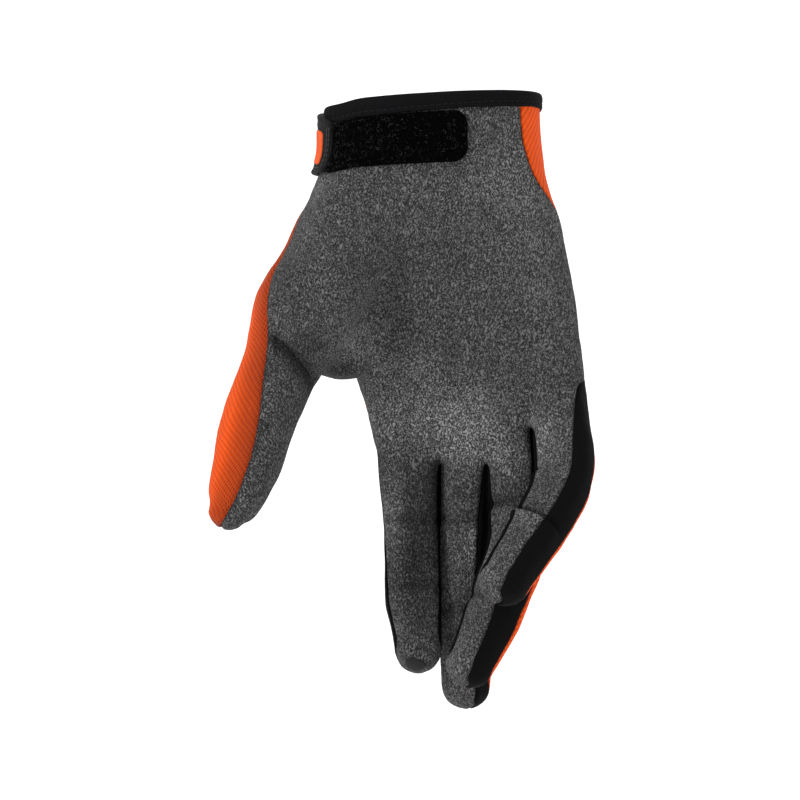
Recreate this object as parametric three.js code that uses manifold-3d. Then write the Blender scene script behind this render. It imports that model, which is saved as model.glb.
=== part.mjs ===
// A right-hand motocross glove in the shape that a hand gives it: cuff up, fingers down, palm forward.
// Millimetres. +Z runs up out of the cuff, the palm faces -Y and the thumb lies towards -X.
// The origin is the middle of the cuff's mouth, at the top of its binding.
import * as THREE from 'three';
import Module from 'manifold-3d';

const wasm = await Module();
wasm.setup();

// Cloth and clearances
const WALL = 1.4;
const GAP = 0.3;
const FINEST_DETAIL = 0.06;

// Cuff binding: a folded tape that takes the panels' top edges in its slot
const BINDING = { height: 6.8, skirt: 1.5, top: 1.0, chamfer: 0.6, slot: 2.6 };
const PANEL_TOP = BINDING.top + GAP;

// Wrist closure, measured down the cuff from its mouth; the ends are angles round the cuff
const TAB = { top: 7.1, bottom: 25.8, palmEnd: -60, backEnd: -168, thickness: 3, corner: 8 };
const LOGO_PLATE = { top: 9.85, bottom: 23.05, palmEnd: -69, backEnd: -97, thickness: 1.2, corner: 2 };
const LOOP_PAD = { top: 7.2, bottom: 26.2, palmEnd: 12.5, backEnd: -58.8, thickness: 1.4, corner: 5 };

// Touch patch on the index fingertip: bands of its outline as an angle on the rounded tip
// and a half breadth in degrees round the finger
const TOUCH_PATCH = {
  thickness: 1.0,
  outline: [
    [22, 15],
    [32, 28],
    [48, 34],
    [72, 36],
  ],
};

// The rounded end of a tube, as rings at these angles from its last section
const TIP_ANGLES = [32, 66];
const TIP_FULLNESS = 0.8;
const TIP_SEAM_OPENING = 0.4;

// Rows between the three sections of a crease, and the row where the thumb's lower palm panel starts
const CREASE_STEP = 0.12;
const THUMB_CREASE_ROW = 4;
const THUMB_PANEL_START = 4.04;

// The knuckle seam: the row where each finger's back panel starts, and the seam's width in rows
const KNUCKLE_ROWS = { index: 1.13, middle: 1.13, ring: 1.37, pinky: 1.94 };
const KNUCKLE_SEAM = 0.02;

// Share of a rounded corner's depth at each of its steps
const CORNER_STEPS = [0, 0.3, 1];

// The glove is a family of tubes that run into each other.
// A row is one section: x, y, z of its middle, then half its breadth, half its depth towards the palm
// and towards the back, and its turn. The body's turn tilts a level section about Y, and every other
// tube's turn rolls the section about the tube's own line, so that its palm side faces the little finger.
// A seam row: row number, palm and back seam on the thumb's side, palm and back seam on the other side,
// in degrees from the middle of the palm side.
// A crease: row number, angle of its middle, spread in degrees, depth, length in rows.
const TUBES = {
  body: {
    level: true,
    squareness: 2.6,
    sides: 28,
    innerSides: 18,
    tip: 4.5,
    rows: [
      [0.0, 0.0, -1.3, 39.3, 22.6, 22.6, 3.6],
      [-0.5, 1.0, -7.5, 40.2, 23.1, 23.2, 3.6],
      [-0.8, 2.0, -18.5, 41.2, 23.6, 23.0, 3.2],
      [-1.2, 4.0, -30.5, 43.5, 23.5, 22.5, 2.4],
      [3.0, 6.0, -45.5, 44.4, 23.0, 21.5, 1.4],
      [6.0, 9.0, -60.0, 45.0, 22.0, 20.5, 0],
      [9.0, 12.0, -75.0, 45.2, 20.5, 19.5, 0],
      [12.0, 15.0, -92.5, 44.4, 18.8, 18.0, 0],
      [14.0, 17.0, -105.0, 43.2, 16.4, 15.6, 3],
      [15.0, 18.0, -115.0, 41.8, 13.6, 12.8, 6],
      [15.5, 18.6, -122.0, 40.0, 11.4, 10.6, 8],
    ],
    seams: [
      [0, 100, 100, 48, 48],
      [2, 98, 98, 50, 50],
      [3, 95, 95, 57, 57],
      [3.5, 92, 92, 69, 69],
      [4, 90, 90, 91, 91],
      [5, 90, 90, 94, 94],
      [8, 90, 90, 94, 94],
      [10, 90, 90, 90, 90],
    ],
    creases: [],
  },
  web: {
    squareness: 2.4,
    sides: 16,
    innerSides: 10,
    tip: 3.5,
    rows: [
      [-30.0, 3.0, -50.5, 12.0, 15.0, 15.0, 0],
      [-33.0, 3.0, -71.5, 14.0, 13.0, 13.0, 0],
      [-36.0, 2.0, -88.5, 12.5, 10.5, 10.5, 0],
      [-37.0, 1.0, -102.5, 10.0, 7.0, 7.0, 0],
    ],
    seams: [[0, 90, 90, 90, 90]],
    creases: [],
  },
  knuckles: {
    squareness: 3.2,
    sides: 12,
    innerSides: 8,
    tip: 3,
    rows: [
      [10.5, 18.2, -108.0, 26.0, 12.0, 11.0, 0],
      [10.5, 19.0, -124.0, 23.0, 12.0, 10.8, 0],
      [10.5, 19.4, -134.0, 21.0, 10.4, 9.8, 0],
    ],
    seams: [[0, 90, 90, 90, 90]],
    creases: [],
  },
  index: {
    squareness: 2.4,
    sides: 16,
    innerSides: 8,
    tip: 11,
    rows: [
      [-12.5, 17.5, -114.0, 14.0, 10.4, 10.4, 0],
      [-10.4, 18.0, -136.5, 11.4, 10.2, 10.4, 3],
      [-9.4, 17.2, -160.0, 9.9, 9.8, 9.9, 3],
      [-9.0, 11.8, -187.5, 10.1, 9.6, 9.5, 7],
      [-7.2, 4.8, -206.5, 9.5, 8.8, 8.6, 8],
    ],
    seams: [
      [0, 92, 112, 62, 116],
      [2, 86, 116, 62, 116],
      [3, 72, 116, 62, 116],
    ],
    creases: [
      [2, 0, 80, 1.0, 0.12],
      [3, 0, 80, 0.9, 0.12],
    ],
  },
  middle: {
    squareness: 2.4,
    sides: 16,
    innerSides: 8,
    tip: 10,
    rows: [
      [11.4, 19.0, -114.0, 10.4, 10.4, 10.4, -4],
      [11.6, 20.6, -137.0, 10.6, 10.3, 10.5, -14],
      [12.0, 21.2, -160.0, 10.2, 9.9, 10.0, -28],
      [12.6, 17.8, -195.5, 10.2, 9.6, 10.2, -30],
      [12.8, 15.0, -209.0, 10.2, 9.4, 11.2, -34],
      [12.6, 12.0, -222.5, 9.5, 8.9, 8.8, -36],
    ],
    seams: [
      [0, 62, 116, 62, 116],
      [2, 62, 116, 56, 114],
      [5, 62, 116, 50, 112],
    ],
    creases: [
      [2, 0, 80, 1.0, 0.12],
      [3, 0, 80, 0.9, 0.12],
    ],
  },
  ring: {
    squareness: 2.4,
    sides: 16,
    innerSides: 8,
    tip: 9,
    rows: [
      [29.5, 18.5, -110.0, 10.4, 10.4, 10.4, -4],
      [30.2, 17.8, -132.5, 10.3, 10.3, 10.3, -7],
      [32.6, 12.5, -154.0, 10.2, 10.0, 10.0, -24],
      [31.0, 7.5, -171.0, 11.0, 10.4, 10.4, -36],
      [22.5, -3.5, -194.0, 11.0, 10.0, 10.2, -50],
      [13.0, -11.5, -212.5, 8.8, 8.4, 8.4, -50],
    ],
    seams: [
      [0, 62, 116, 62, 116],
      [2, 52, 116, 56, 114],
      [4, 62, 116, 42, 112],
      [5, 62, 116, 38, 112],
    ],
    creases: [
      [2, -40, 80, 1.3, 0.15],
      [3.9, -20, 80, 0.9, 0.12],
    ],
  },
  pinky: {
    squareness: 2.4,
    sides: 16,
    innerSides: 8,
    tip: 9,
    rows: [
      [45.5, 15.5, -95.0, 9.5, 9.5, 9.5, -6],
      [46.8, 13.0, -111.0, 10.8, 10.2, 10.2, -12],
      [48.6, 7.4, -127.5, 11.2, 10.0, 10.0, -18],
      [48.6, 0.0, -142.0, 11.4, 9.8, 9.8, -26],
      [43.2, -9.0, -154.5, 10.9, 9.6, 9.6, -34],
      [32.2, -19.5, -170.5, 10.2, 9.4, 9.4, -40],
      [25.5, -24.5, -180.5, 9.4, 8.8, 8.7, -40],
    ],
    seams: [
      [0, 62, 116, 80, 96],
      [1, 62, 116, 55, 106],
      [2, 62, 116, 36, 108],
      [4, 62, 116, 34, 108],
      [6, 62, 116, 40, 108],
    ],
    creases: [[4, 0, 100, 1.4, 0.15]],
  },
  thumb: {
    squareness: 2.4,
    sides: 18,
    innerSides: 10,
    tip: 10,
    rows: [
      [-23.0, 2.0, -28.0, 15.0, 17.0, 18.0, 8],
      [-32.5, 0.0, -46.0, 19.4, 21.0, 19.0, 10],
      [-42.5, -4.0, -65.0, 20.0, 23.0, 18.5, 20],
      [-50.8, -10.0, -82.5, 18.6, 19.5, 17.0, 38],
      [-57.8, -17.0, -100.5, 15.4, 14.3, 14.4, 62],
      [-65.5, -24.0, -121.0, 13.6, 13.2, 13.4, 78],
      [-69.5, -28.7, -136.5, 12.5, 12.4, 12.2, 80],
      [-77.5, -33.0, -151.5, 8.6, 8.0, 8.0, 78],
    ],
    seams: [
      [3, 90, 90, 90, 90],
      [4, 86, 86, 90, 90],
      [5, 77, 77, 90, 90],
      [7, 72, 72, 90, 90],
    ],
    creases: [[4, 0, 110, 1.6, 0.2]],
  },
};
const radians = THREE.MathUtils.degToRad;
const clamp = THREE.MathUtils.clamp;

// Linear interpolation down a table whose first column rises.
function tableRow(table, at) {
  const next = table.findIndex((row) => row[0] > at);
  if (next === 0) return table[0].slice(1);
  if (next < 0) return table[table.length - 1].slice(1);
  const [low, high] = [table[next - 1], table[next]];
  const share = (at - low[0]) / (high[0] - low[0]);
  return low.slice(1).map((value, i) => value + (high[i + 1] - value) * share);
}

// One tube of the glove: its sections along a smooth centre line, and the points of its surface.
class Tube {
  constructor({ rows, squareness, sides, innerSides, tip, seams, creases, level = false }) {
    const curve = (columns) =>
      new THREE.CatmullRomCurve3(rows.map(columns), false, 'catmullrom', 0.5);
    this.last = rows.length - 1;
    this.centreLine = curve((row) => new THREE.Vector3(row[0], row[1], row[2]));
    this.halves = curve((row) => new THREE.Vector3(row[3], row[4], row[5]));
    this.turns = curve((row) => new THREE.Vector3(row[6], 0, 0));
    Object.assign(this, { squareness, sides, innerSides, tip, seams, creases, level });
  }

  // The section at a row number, or past the last one on the rounded tip at an angle from it,
  // with every half size larger by grow.
  section(at, grow = 0, tipAngle = 0) {
    const t = clamp(at / this.last, 0, 1);
    const turn = radians(this.turns.getPoint(t).x);
    const along = this.level
      ? new THREE.Vector3(Math.sin(turn), 0, -Math.cos(turn))
      : this.centreLine.getTangent(t);
    const roll = this.level ? 0 : turn;
    const forward = new THREE.Vector3(Math.sin(roll), -Math.cos(roll), 0);
    forward.addScaledVector(along, -forward.dot(along)).normalize();
    const across = new THREE.Vector3().crossVectors(forward, along);
    const shrink = Math.cos(radians(tipAngle)) ** TIP_FULLNESS;
    const [side, front, back] = this.halves.getPoint(t).toArray().map((half) => (half + grow) * shrink);
    const reach = (this.tip + grow) * Math.sin(radians(tipAngle));
    const centre = this.centreLine.getPoint(t).addScaledVector(along, tipAngle ? reach : 0);
    return { at, centre, along, forward, across, side, front, back, tipAngle, seams: this.seamsAt(at, tipAngle) };
  }

  // The four seam angles of a section. On the tip the two of each side close on their middle.
  seamsAt(at, tipAngle) {
    const [thumbPalm, thumbBack, pinkyPalm, pinkyBack] = tableRow(this.seams, at);
    const open = [1, TIP_SEAM_OPENING, 0][tipAngle ? 1 + TIP_ANGLES.indexOf(tipAngle) : 0];
    const close = (angle, other) => (angle + other) / 2 + ((angle - other) / 2) * open;
    return [
      close(thumbPalm, thumbBack),
      close(thumbBack, thumbPalm),
      close(pinkyPalm, pinkyBack),
      close(pinkyBack, pinkyPalm),
    ];
  }

  // How deep the creases press in the surface there.
  dent(section, angle) {
    let depth = 0;
    for (const [row, middle, spread, most, length] of this.creases) {
      const away = Math.abs(THREE.MathUtils.euclideanModulo(angle - middle + 180, 360) - 180) / spread;
      if (away < 1) depth += most * Math.cos((away * Math.PI) / 2) * Math.exp(-(((section.at - row) / length) ** 2));
    }
    return depth;
  }

  // A point of a section's outline, at an angle from the middle of the palm side.
  point(section, angle, raise = 0) {
    const [sine, cosine] = [Math.sin(radians(angle)), Math.cos(radians(angle))];
    const depth = cosine > 0 ? section.front : section.back;
    const power = 2 / this.squareness;
    const u = section.side * Math.sign(sine) * Math.abs(sine) ** power;
    const v = depth * Math.sign(cosine) * Math.abs(cosine) ** power;
    const dent = section.tipAngle ? 0 : this.dent(section, angle);
    const length = Math.hypot(u, v);
    const scale = (length + raise - dent) / length;
    return section.centre
      .clone()
      .addScaledVector(section.across, u * scale)
      .addScaledVector(section.forward, v * scale);
  }

  // A length along a section's outline in degrees there.
  degrees(section, angle, length) {
    return length / this.point(section, angle).distanceTo(this.point(section, angle + 1));
  }

  // The row numbers of the sections between two rows: each row, and three in each crease.
  stations(first = 0, last = this.last) {
    const creaseRows = this.creases.flatMap(([row]) => [row - CREASE_STEP, row, row + CREASE_STEP]);
    const rows = Array.from({ length: this.last + 1 }, (_, row) => row);
    const between = (at) => at > first + CREASE_STEP / 2 && at < last - CREASE_STEP / 2;
    const clear = (at) => creaseRows.every((row) => Math.abs(row - at) > CREASE_STEP);
    const kept = [...creaseRows.filter(between), ...rows.filter((at) => between(at) && clear(at))];
    return [first, ...kept.sort((a, b) => a - b), last];
  }

  // The same for the inside, with one section in each crease.
  innerStations() {
    const creaseRows = this.creases.map(([row]) => row);
    const clear = (at) => creaseRows.every((row) => Math.abs(row - at) > 2 * CREASE_STEP);
    const rows = Array.from({ length: this.last + 1 }, (_, row) => row).filter(clear);
    return [...rows, ...creaseRows].sort((a, b) => a - b);
  }

  // The sections at row numbers, and those of the rounded tip where the last row is among them.
  sections(rows, grow) {
    const along = rows.map((at) => this.section(at, grow));
    if (rows.at(-1) < this.last) return along;
    return [...along, ...TIP_ANGLES.map((angle) => this.section(this.last, grow, angle))];
  }
}

const tube = Object.fromEntries(Object.entries(TUBES).map(([name, spec]) => [name, new Tube(spec)]));
const FINGERS = ['index', 'middle', 'ring', 'pinky'];

// A closed mesh as a solid.
function solid(points, faces) {
  const vertProperties = new Float32Array(points.flatMap((point) => point.toArray()));
  const mesh = new wasm.Mesh({ numProp: 3, vertProperties, triVerts: new Uint32Array(faces.flat()) });
  mesh.merge();
  return new wasm.Manifold(mesh);
}

// The two triangles of a four-sided face, split along its shorter diagonal.
function quad(points, a, b, c, d) {
  if (points[a].distanceToSquared(points[c]) <= points[b].distanceToSquared(points[d])) {
    return [
      [a, b, c],
      [a, c, d],
    ];
  }
  return [
    [a, b, d],
    [b, c, d],
  ];
}

// The triangles of an end face: a fan from its first point, or a ladder across a thin plate's loop.
function fanFaces(loop) {
  return Array.from({ length: loop.length - 2 }, (_, i) => [0, i + 1, i + 2]);
}
function ladderFaces(loop) {
  const size = loop.length;
  const rung = (i) => quad(loop, i, i + 1, size - 2 - i, size - 1 - i);
  return Array.from({ length: size / 2 - 1 }, (_, i) => rung(i)).flat();
}

// Loops of points of equal length joined one after the other, closed by an end face at the first
// and the last, or joined round when endFaces is left out.
function loft(loops, endFaces) {
  const [count, size] = [loops.length, loops[0].length];
  const points = loops.flat();
  const faces = [];
  for (let loop = 0; loop < (endFaces ? count - 1 : count); loop += 1) {
    const [here, beyond] = [loop * size, ((loop + 1) % count) * size];
    for (let i = 0; i < size; i += 1) {
      const j = (i + 1) % size;
      faces.push(...quad(points, here + i, beyond + i, beyond + j, here + j));
    }
  }
  if (endFaces) {
    const end = (count - 1) * size;
    faces.push(...endFaces(loops[0]));
    for (const [a, b, c] of endFaces(loops.at(-1))) faces.push([end + a, end + c, end + b]);
  }
  return solid(points, faces);
}

// All the regular angles of a tube's sides.
function allAngles(sides) {
  return Array.from({ length: sides }, (_, i) => (i * 360) / sides);
}

// Those that lie between two angles.
function regularAngles(sides, low, high) {
  const step = 360 / sides;
  const first = Math.floor(low / step) + 1;
  const count = Math.ceil(high / step) - first;
  return Array.from({ length: count }, (_, i) => (first + i) * step);
}

// The slice of a tube between two angles, closed at its centre line.
// limits(seams) gives the two angles of a section from its four seams.
function slice(name, limits, { first = 0, last, grow = 0 } = {}) {
  const from = tube[name];
  const sections = from.sections(from.stations(first, last), grow);
  const spans = sections.map((section) => {
    const [low, high] = limits(section.seams);
    return [low - from.degrees(section, low, grow), high + from.degrees(section, high, grow)];
  });
  const lowest = Math.min(...spans.map(([low]) => low));
  const highest = Math.max(...spans.map(([, high]) => high));
  const regular = regularAngles(from.sides, lowest, highest);
  const loops = sections.map((section, i) => {
    const [low, high] = spans[i];
    const angles = [low, ...regular.map((angle) => clamp(angle, low, high)), high];
    return [section.centre, ...angles.map((angle) => from.point(section, angle))];
  });
  return loft(loops, fanFaces);
}

// The whole inside of a tube, one wall smaller than its outside, and carried on out of the cuff's mouth.
function inside(name) {
  const from = tube[name];
  const sections = from.sections(from.innerStations(), -WALL);
  if (from.level) {
    const mouth = from.section(0, -WALL);
    mouth.centre.addScaledVector(mouth.along, -2 * PANEL_TOP);
    sections.unshift(mouth);
  }
  const angles = allAngles(from.innerSides);
  return loft(sections.map((section) => angles.map((angle) => from.point(section, angle))), fanFaces);
}

const union = (solids) => solids.reduce((sum, next) => sum.add(next));
const hollow = union(Object.keys(TUBES).map(inside));

// Angles of each kind of slice, from a section's seams.
const palmSide = ([thumbPalm, , pinkyPalm]) => [-thumbPalm, pinkyPalm];
const backSide = ([, thumbBack, , pinkyBack]) => [pinkyBack, 360 - thumbBack];
const thumbwardSide = ([thumbPalm, thumbBack]) => [-thumbBack, -thumbPalm];
const pinkywardSide = ([, , pinkyPalm, pinkyBack]) => [pinkyPalm, pinkyBack];

// The back of a finger below the knuckle seam.
const fingerBack = (finger, grow) => [
  slice(finger, backSide, { first: KNUCKLE_ROWS[finger] + KNUCKLE_SEAM, grow }),
];

// Each cloth panel as the slices that it is joined from, in the order in which they lie over each other.
const PANELS = {
  palm_panel: (grow) => [
    slice('body', palmSide, { grow }),
    slice('web', palmSide, { grow }),
    slice('knuckles', palmSide, { grow }),
    slice('thumb', palmSide, { last: THUMB_CREASE_ROW, grow }),
    ...FINGERS.map((finger) => slice(finger, palmSide, { grow })),
  ],
  thumb_palm_panel: (grow) => [slice('thumb', palmSide, { first: THUMB_PANEL_START, grow })],
  back_panel: (grow) => [
    slice('body', backSide, { grow }),
    slice('web', backSide, { grow }),
    slice('knuckles', backSide, { grow }),
    ...FINGERS.map((finger) => slice(finger, backSide, { last: KNUCKLE_ROWS[finger], grow })),
  ],
  thumb_back_panel: (grow) => [slice('thumb', backSide, { grow })],
  index_back_panel: (grow) => fingerBack('index', grow),
  middle_back_panel: (grow) => fingerBack('middle', grow),
  ring_back_panel: (grow) => fingerBack('ring', grow),
  pinky_back_panel: (grow) => fingerBack('pinky', grow),
  index_side_strip: (grow) => [slice('index', thumbwardSide, { grow })],
  fourchette_index_middle: (grow) => [
    slice('index', pinkywardSide, { grow }),
    slice('middle', thumbwardSide, { grow }),
  ],
  fourchette_middle_ring: (grow) => [
    slice('middle', pinkywardSide, { grow }),
    slice('ring', thumbwardSide, { grow }),
  ],
  fourchette_ring_pinky: (grow) => [
    slice('ring', pinkywardSide, { grow }),
    slice('pinky', thumbwardSide, { grow }),
  ],
  pinky_side_strip: (grow) => [slice('pinky', pinkywardSide, { grow })],
};

// The panels as shells: each without the hollow and without the grown shape of the panels before it.
function cutPanels() {
  const panels = {};
  let taken = hollow;
  for (const [name, slices] of Object.entries(PANELS)) {
    const piece = union(slices(0)).subtract(taken).simplify(FINEST_DETAIL);
    const bodies = piece.decompose().sort((a, b) => b.volume() - a.volume());
    panels[name] = bodies[0];
    taken = taken.add(union(slices(GAP)));
  }
  return panels;
}

// The body's section at a depth below the cuff's mouth.
function cuffSection(depth) {
  const body = tube.body;
  if (depth < PANEL_TOP) {
    const mouth = body.section(0);
    mouth.centre.addScaledVector(mouth.along, depth - PANEL_TOP);
    return mouth;
  }
  const depths = TUBES.body.rows.map((row) => -row[2]);
  const next = depths.findIndex((value) => value > depth);
  const share = (depth - depths[next - 1]) / (depths[next] - depths[next - 1]);
  return body.section(next - 1 + share);
}

// The binding: a folded tape's profile carried round the cuff. Heights run down from the mouth.
function bindingSolid() {
  const { height, skirt, top, chamfer, slot } = BINDING;
  const outside = GAP + skirt;
  const slotWall = GAP - slot;
  const within = slotWall - skirt;
  const profile = [
    [within + chamfer, 0],
    [within, chamfer],
    [within, height],
    [slotWall, height],
    [slotWall, top],
    [GAP, top],
    [GAP, height],
    [outside, height],
    [outside, chamfer],
    [outside - chamfer, 0],
  ];
  const body = tube.body;
  const angles = allAngles(body.sides);
  const sections = new Map(profile.map(([, depth]) => [depth, cuffSection(depth)]));
  return loft(
    angles.map((angle) => profile.map(([raise, depth]) => body.point(sections.get(depth), angle, raise))),
  );
}

// A thin plate that follows a tube, between two heights above its cloth.
// bands: [section, low angle, high angle] from one edge of the plate to the other.
function plate(from, bands, low, high) {
  const lowest = Math.min(...bands.map(([, start]) => start));
  const highest = Math.max(...bands.map(([, , end]) => end));
  const regular = regularAngles(from.sides, lowest, highest);
  const loops = bands.map(([section, start, end]) => {
    const angles = [start, ...regular.map((angle) => clamp(angle, start, end)), end];
    const outer = angles.map((angle) => from.point(section, angle, high));
    const inner = angles.map((angle) => from.point(section, angle, low)).reverse();
    return [...outer, ...inner];
  });
  return loft(loops, ladderFaces);
}

// A plate on the cuff with rounded corners at one or both of its ends.
function cuffPlate({ top, bottom, palmEnd, backEnd, thickness, corner }, stand, roundPalm, roundBack) {
  const body = tube.body;
  const offsets = CORNER_STEPS.map((share) => share * corner);
  const upper = offsets.map((offset) => top + offset);
  const lower = offsets.map((offset) => bottom - offset).reverse();
  const depths = [...upper, (top + bottom) / 2, ...lower];
  const bands = depths.map((depth) => {
    const section = cuffSection(depth);
    const edge = Math.min(depth - top, bottom - depth, corner);
    const inset = corner - Math.sqrt(corner ** 2 - (corner - edge) ** 2);
    const start = backEnd + (roundBack ? body.degrees(section, backEnd, inset) : 0);
    const end = palmEnd - (roundPalm ? body.degrees(section, palmEnd - 1, inset) : 0);
    return [section, start, end];
  });
  return plate(body, bands, stand, stand + thickness);
}

// The touch patch: a half oval that laps round the index fingertip.
function touchPatchSolid() {
  const { thickness, outline } = TOUCH_PATCH;
  const finger = tube.index;
  const bands = outline.map(([tipAngle, half]) => [finger.section(finger.last, 0, tipAngle), -half, half]);
  return plate(finger, bands, GAP, GAP + thickness);
}

const SUEDE = { color: 0x5a5a5a, roughness: 0.95, metalness: 0 };
const ORANGE_WEAVE = { color: 0xec6420, roughness: 0.8, metalness: 0 };
const BLACK_STRETCH = { color: 0x1a1a1b, roughness: 0.85, metalness: 0 };
const BLACK_TAPE = { color: 0x141416, roughness: 0.7, metalness: 0 };
const LOOP_PILE = { color: 0x1c1b1c, roughness: 1, metalness: 0 };
const MOULDED_ORANGE = { color: 0xf26a24, roughness: 0.45, metalness: 0 };
const TOUCH_FABRIC = { color: 0x202022, roughness: 0.6, metalness: 0 };

const FINISHES = {
  palm_panel: SUEDE,
  thumb_palm_panel: SUEDE,
  back_panel: ORANGE_WEAVE,
  thumb_back_panel: ORANGE_WEAVE,
  index_back_panel: ORANGE_WEAVE,
  middle_back_panel: ORANGE_WEAVE,
  ring_back_panel: ORANGE_WEAVE,
  pinky_back_panel: ORANGE_WEAVE,
  index_side_strip: BLACK_STRETCH,
  fourchette_index_middle: BLACK_STRETCH,
  fourchette_middle_ring: BLACK_STRETCH,
  fourchette_ring_pinky: BLACK_STRETCH,
  pinky_side_strip: BLACK_STRETCH,
  cuff_binding: BLACK_TAPE,
  closure_tab: BLACK_TAPE,
  tab_logo_plate: MOULDED_ORANGE,
  loop_pad: LOOP_PILE,
  index_touch_patch: TOUCH_FABRIC,
};

const pieces = {
  ...cutPanels(),
  cuff_binding: bindingSolid(),
  closure_tab: cuffPlate(TAB, GAP, false, true),
  tab_logo_plate: cuffPlate(LOGO_PLATE, TAB.thickness + 2 * GAP, true, true),
  loop_pad: cuffPlate(LOOP_PAD, GAP, true, false),
  index_touch_patch: touchPatchSolid(),
};

// A solid as a named mesh.
function namedMesh(name, shape) {
  const { vertProperties, triVerts } = shape.getMesh();
  const geometry = new THREE.BufferGeometry();
  geometry.setAttribute('position', new THREE.BufferAttribute(new Float32Array(vertProperties), 3));
  geometry.setIndex(new THREE.BufferAttribute(new Uint32Array(triVerts), 1));
  geometry.computeVertexNormals();
  const mesh = new THREE.Mesh(geometry, new THREE.MeshStandardMaterial(FINISHES[name]));
  mesh.name = name;
  return mesh;
}

const group = new THREE.Group();
for (const [name, shape] of Object.entries(pieces)) group.add(namedMesh(name, shape));
export default group;
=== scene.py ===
"""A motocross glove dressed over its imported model.

The cloth panels are cut from one smooth form of the hand, which is a family of tubes that flow into
each other. The cuff's binding, closure tab, plate and loop pad are laid on that form. Sizes in the
classes are millimetres, and every finished mesh is in metres in the model's frame: +Z up out of the
cuff, the palm towards -Y and the thumb towards -X.
"""

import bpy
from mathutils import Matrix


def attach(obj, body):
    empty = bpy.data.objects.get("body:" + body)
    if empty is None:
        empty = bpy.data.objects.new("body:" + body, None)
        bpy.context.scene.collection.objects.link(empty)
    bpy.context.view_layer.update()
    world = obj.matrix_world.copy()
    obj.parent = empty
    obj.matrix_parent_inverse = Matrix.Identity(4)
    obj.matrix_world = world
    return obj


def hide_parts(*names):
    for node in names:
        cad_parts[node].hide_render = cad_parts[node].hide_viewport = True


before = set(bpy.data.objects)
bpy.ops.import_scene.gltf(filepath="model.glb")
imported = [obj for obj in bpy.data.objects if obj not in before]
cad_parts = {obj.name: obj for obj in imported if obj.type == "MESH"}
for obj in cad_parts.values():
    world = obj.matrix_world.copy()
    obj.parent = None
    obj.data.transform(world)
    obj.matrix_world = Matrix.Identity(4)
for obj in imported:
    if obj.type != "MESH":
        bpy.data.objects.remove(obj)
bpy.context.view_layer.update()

import itertools
import logging
import math
from dataclasses import dataclass, field
from enum import Enum
from typing import Callable, Sequence

import bpy
import numpy as np
from mathutils import Vector
from mathutils.bvhtree import BVHTree

MM = 0.001
ROOT = "root"
LOG = logging.getLogger("glove")
FINGERS = ("index", "middle", "ring", "pinky")
# Distances from a tube beyond this many millimetres are not worked out.
FAR = 12.0
Array = np.ndarray
Colour = tuple[float, float, float, float]
Material, Object = bpy.types.Material, bpy.types.Object
Node, NodeTree, Socket = bpy.types.Node, bpy.types.NodeTree, bpy.types.NodeSocket


class Slot(Enum):
    """The record's material slots."""

    SUEDE = "palm_suede"
    WEAVE = "orange_weave"
    STRETCH = "black_stretch"
    TAPE = "binding_tape"
    TAB = "tab_leather"
    PLATE = "moulded_orange"
    LOOP = "loop_pile"
    TOUCH = "touch_fabric"


def unit(vectors: Array) -> Array:
    """Scale rows of vectors to length one."""
    return vectors / np.maximum(np.linalg.norm(vectors, axis=-1, keepdims=True), 1e-9)


def smooth_minimum(a: Array, b: Array, reach: float) -> Array:
    """Join two distances so that surfaces nearer than the reach flow into each other."""
    near = np.maximum(reach - np.abs(a - b), 0.0) / reach
    return np.minimum(a, b) - near * near * reach * 0.25


def bump(offset: Array, width: float) -> Array:
    """A bell-shaped bump of a half width: one in its middle, falling to nothing."""
    return np.exp(-((offset / width) ** 2))


def eased(at: Array | float, table: Sequence[tuple[float, float]], reach: float = 3.0) -> Array | float:
    """Read a table with its corners rounded.

    Args:
        at: Places.
        table: Place and value of each of its points.
        reach: How far its corners are rounded.

    Returns:
        The values.
    """
    places, values = np.array(table).T
    shifts = np.linspace(-reach, reach, 9)
    return np.mean([np.interp(at + shift, places, values) for shift in shifts], axis=0)


def waves(points: Array, wavelength: float, seed: int, count: int = 14) -> Array:
    """Soft uneven undulation without a direction.

    Args:
        points: Rows of x, y, z.
        wavelength: Mean length of a wave.
        seed: Seed of the waves' directions.
        count: How many waves are added up.

    Returns:
        Heights between about minus one and one.
    """
    rng = np.random.default_rng(seed)
    directions = unit(rng.normal(size=(count, 3)))
    lengths = wavelength * rng.uniform(0.75, 1.4, count)
    phases = rng.uniform(0, 2 * math.pi, count)
    heights = np.sin((points @ directions.T) * (2 * math.pi / lengths) + phases)
    return heights.sum(axis=1) / math.sqrt(2 * count)


def run_along(line: Array) -> Array:
    """Length along a line up to each of its points."""
    return np.concatenate([[0.0], np.cumsum(np.linalg.norm(np.diff(line, axis=0), axis=1))])


@dataclass(frozen=True)
class Fold:
    """A crease pressed across a tube.

    Attributes:
        row: Row of its middle.
        angle: Angle of its middle, from the middle of the palm side.
        spread: How far it reaches round the tube to each side, in degrees.
        depth: How deep it presses in.
        width: Half its width along the tube.
        lip: Height of the cloth that bulges out just past it.
        slant: How far it runs down the tube across its spread.
    """

    row: float
    angle: float
    spread: float
    depth: float
    width: float
    lip: float = 0.0
    slant: float = 0.0


@dataclass
class Placed:
    """Where points lie in a tube.

    Attributes:
        row: Row number along the tube.
        along: Distance along its centre line from its first row.
        angle: Degrees round it from the middle of the palm side, positive towards the little finger.
        distance: Distance outside its surface.
        radius: Distance from its centre line.
        depth: Distance in front of its centre line.
        beyond: Distance past its last row.
        across: Distance round its surface from the middle of its back.
    """

    row: Array
    along: Array
    angle: Array
    distance: Array
    radius: Array
    depth: Array
    beyond: Array
    across: Array


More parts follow.
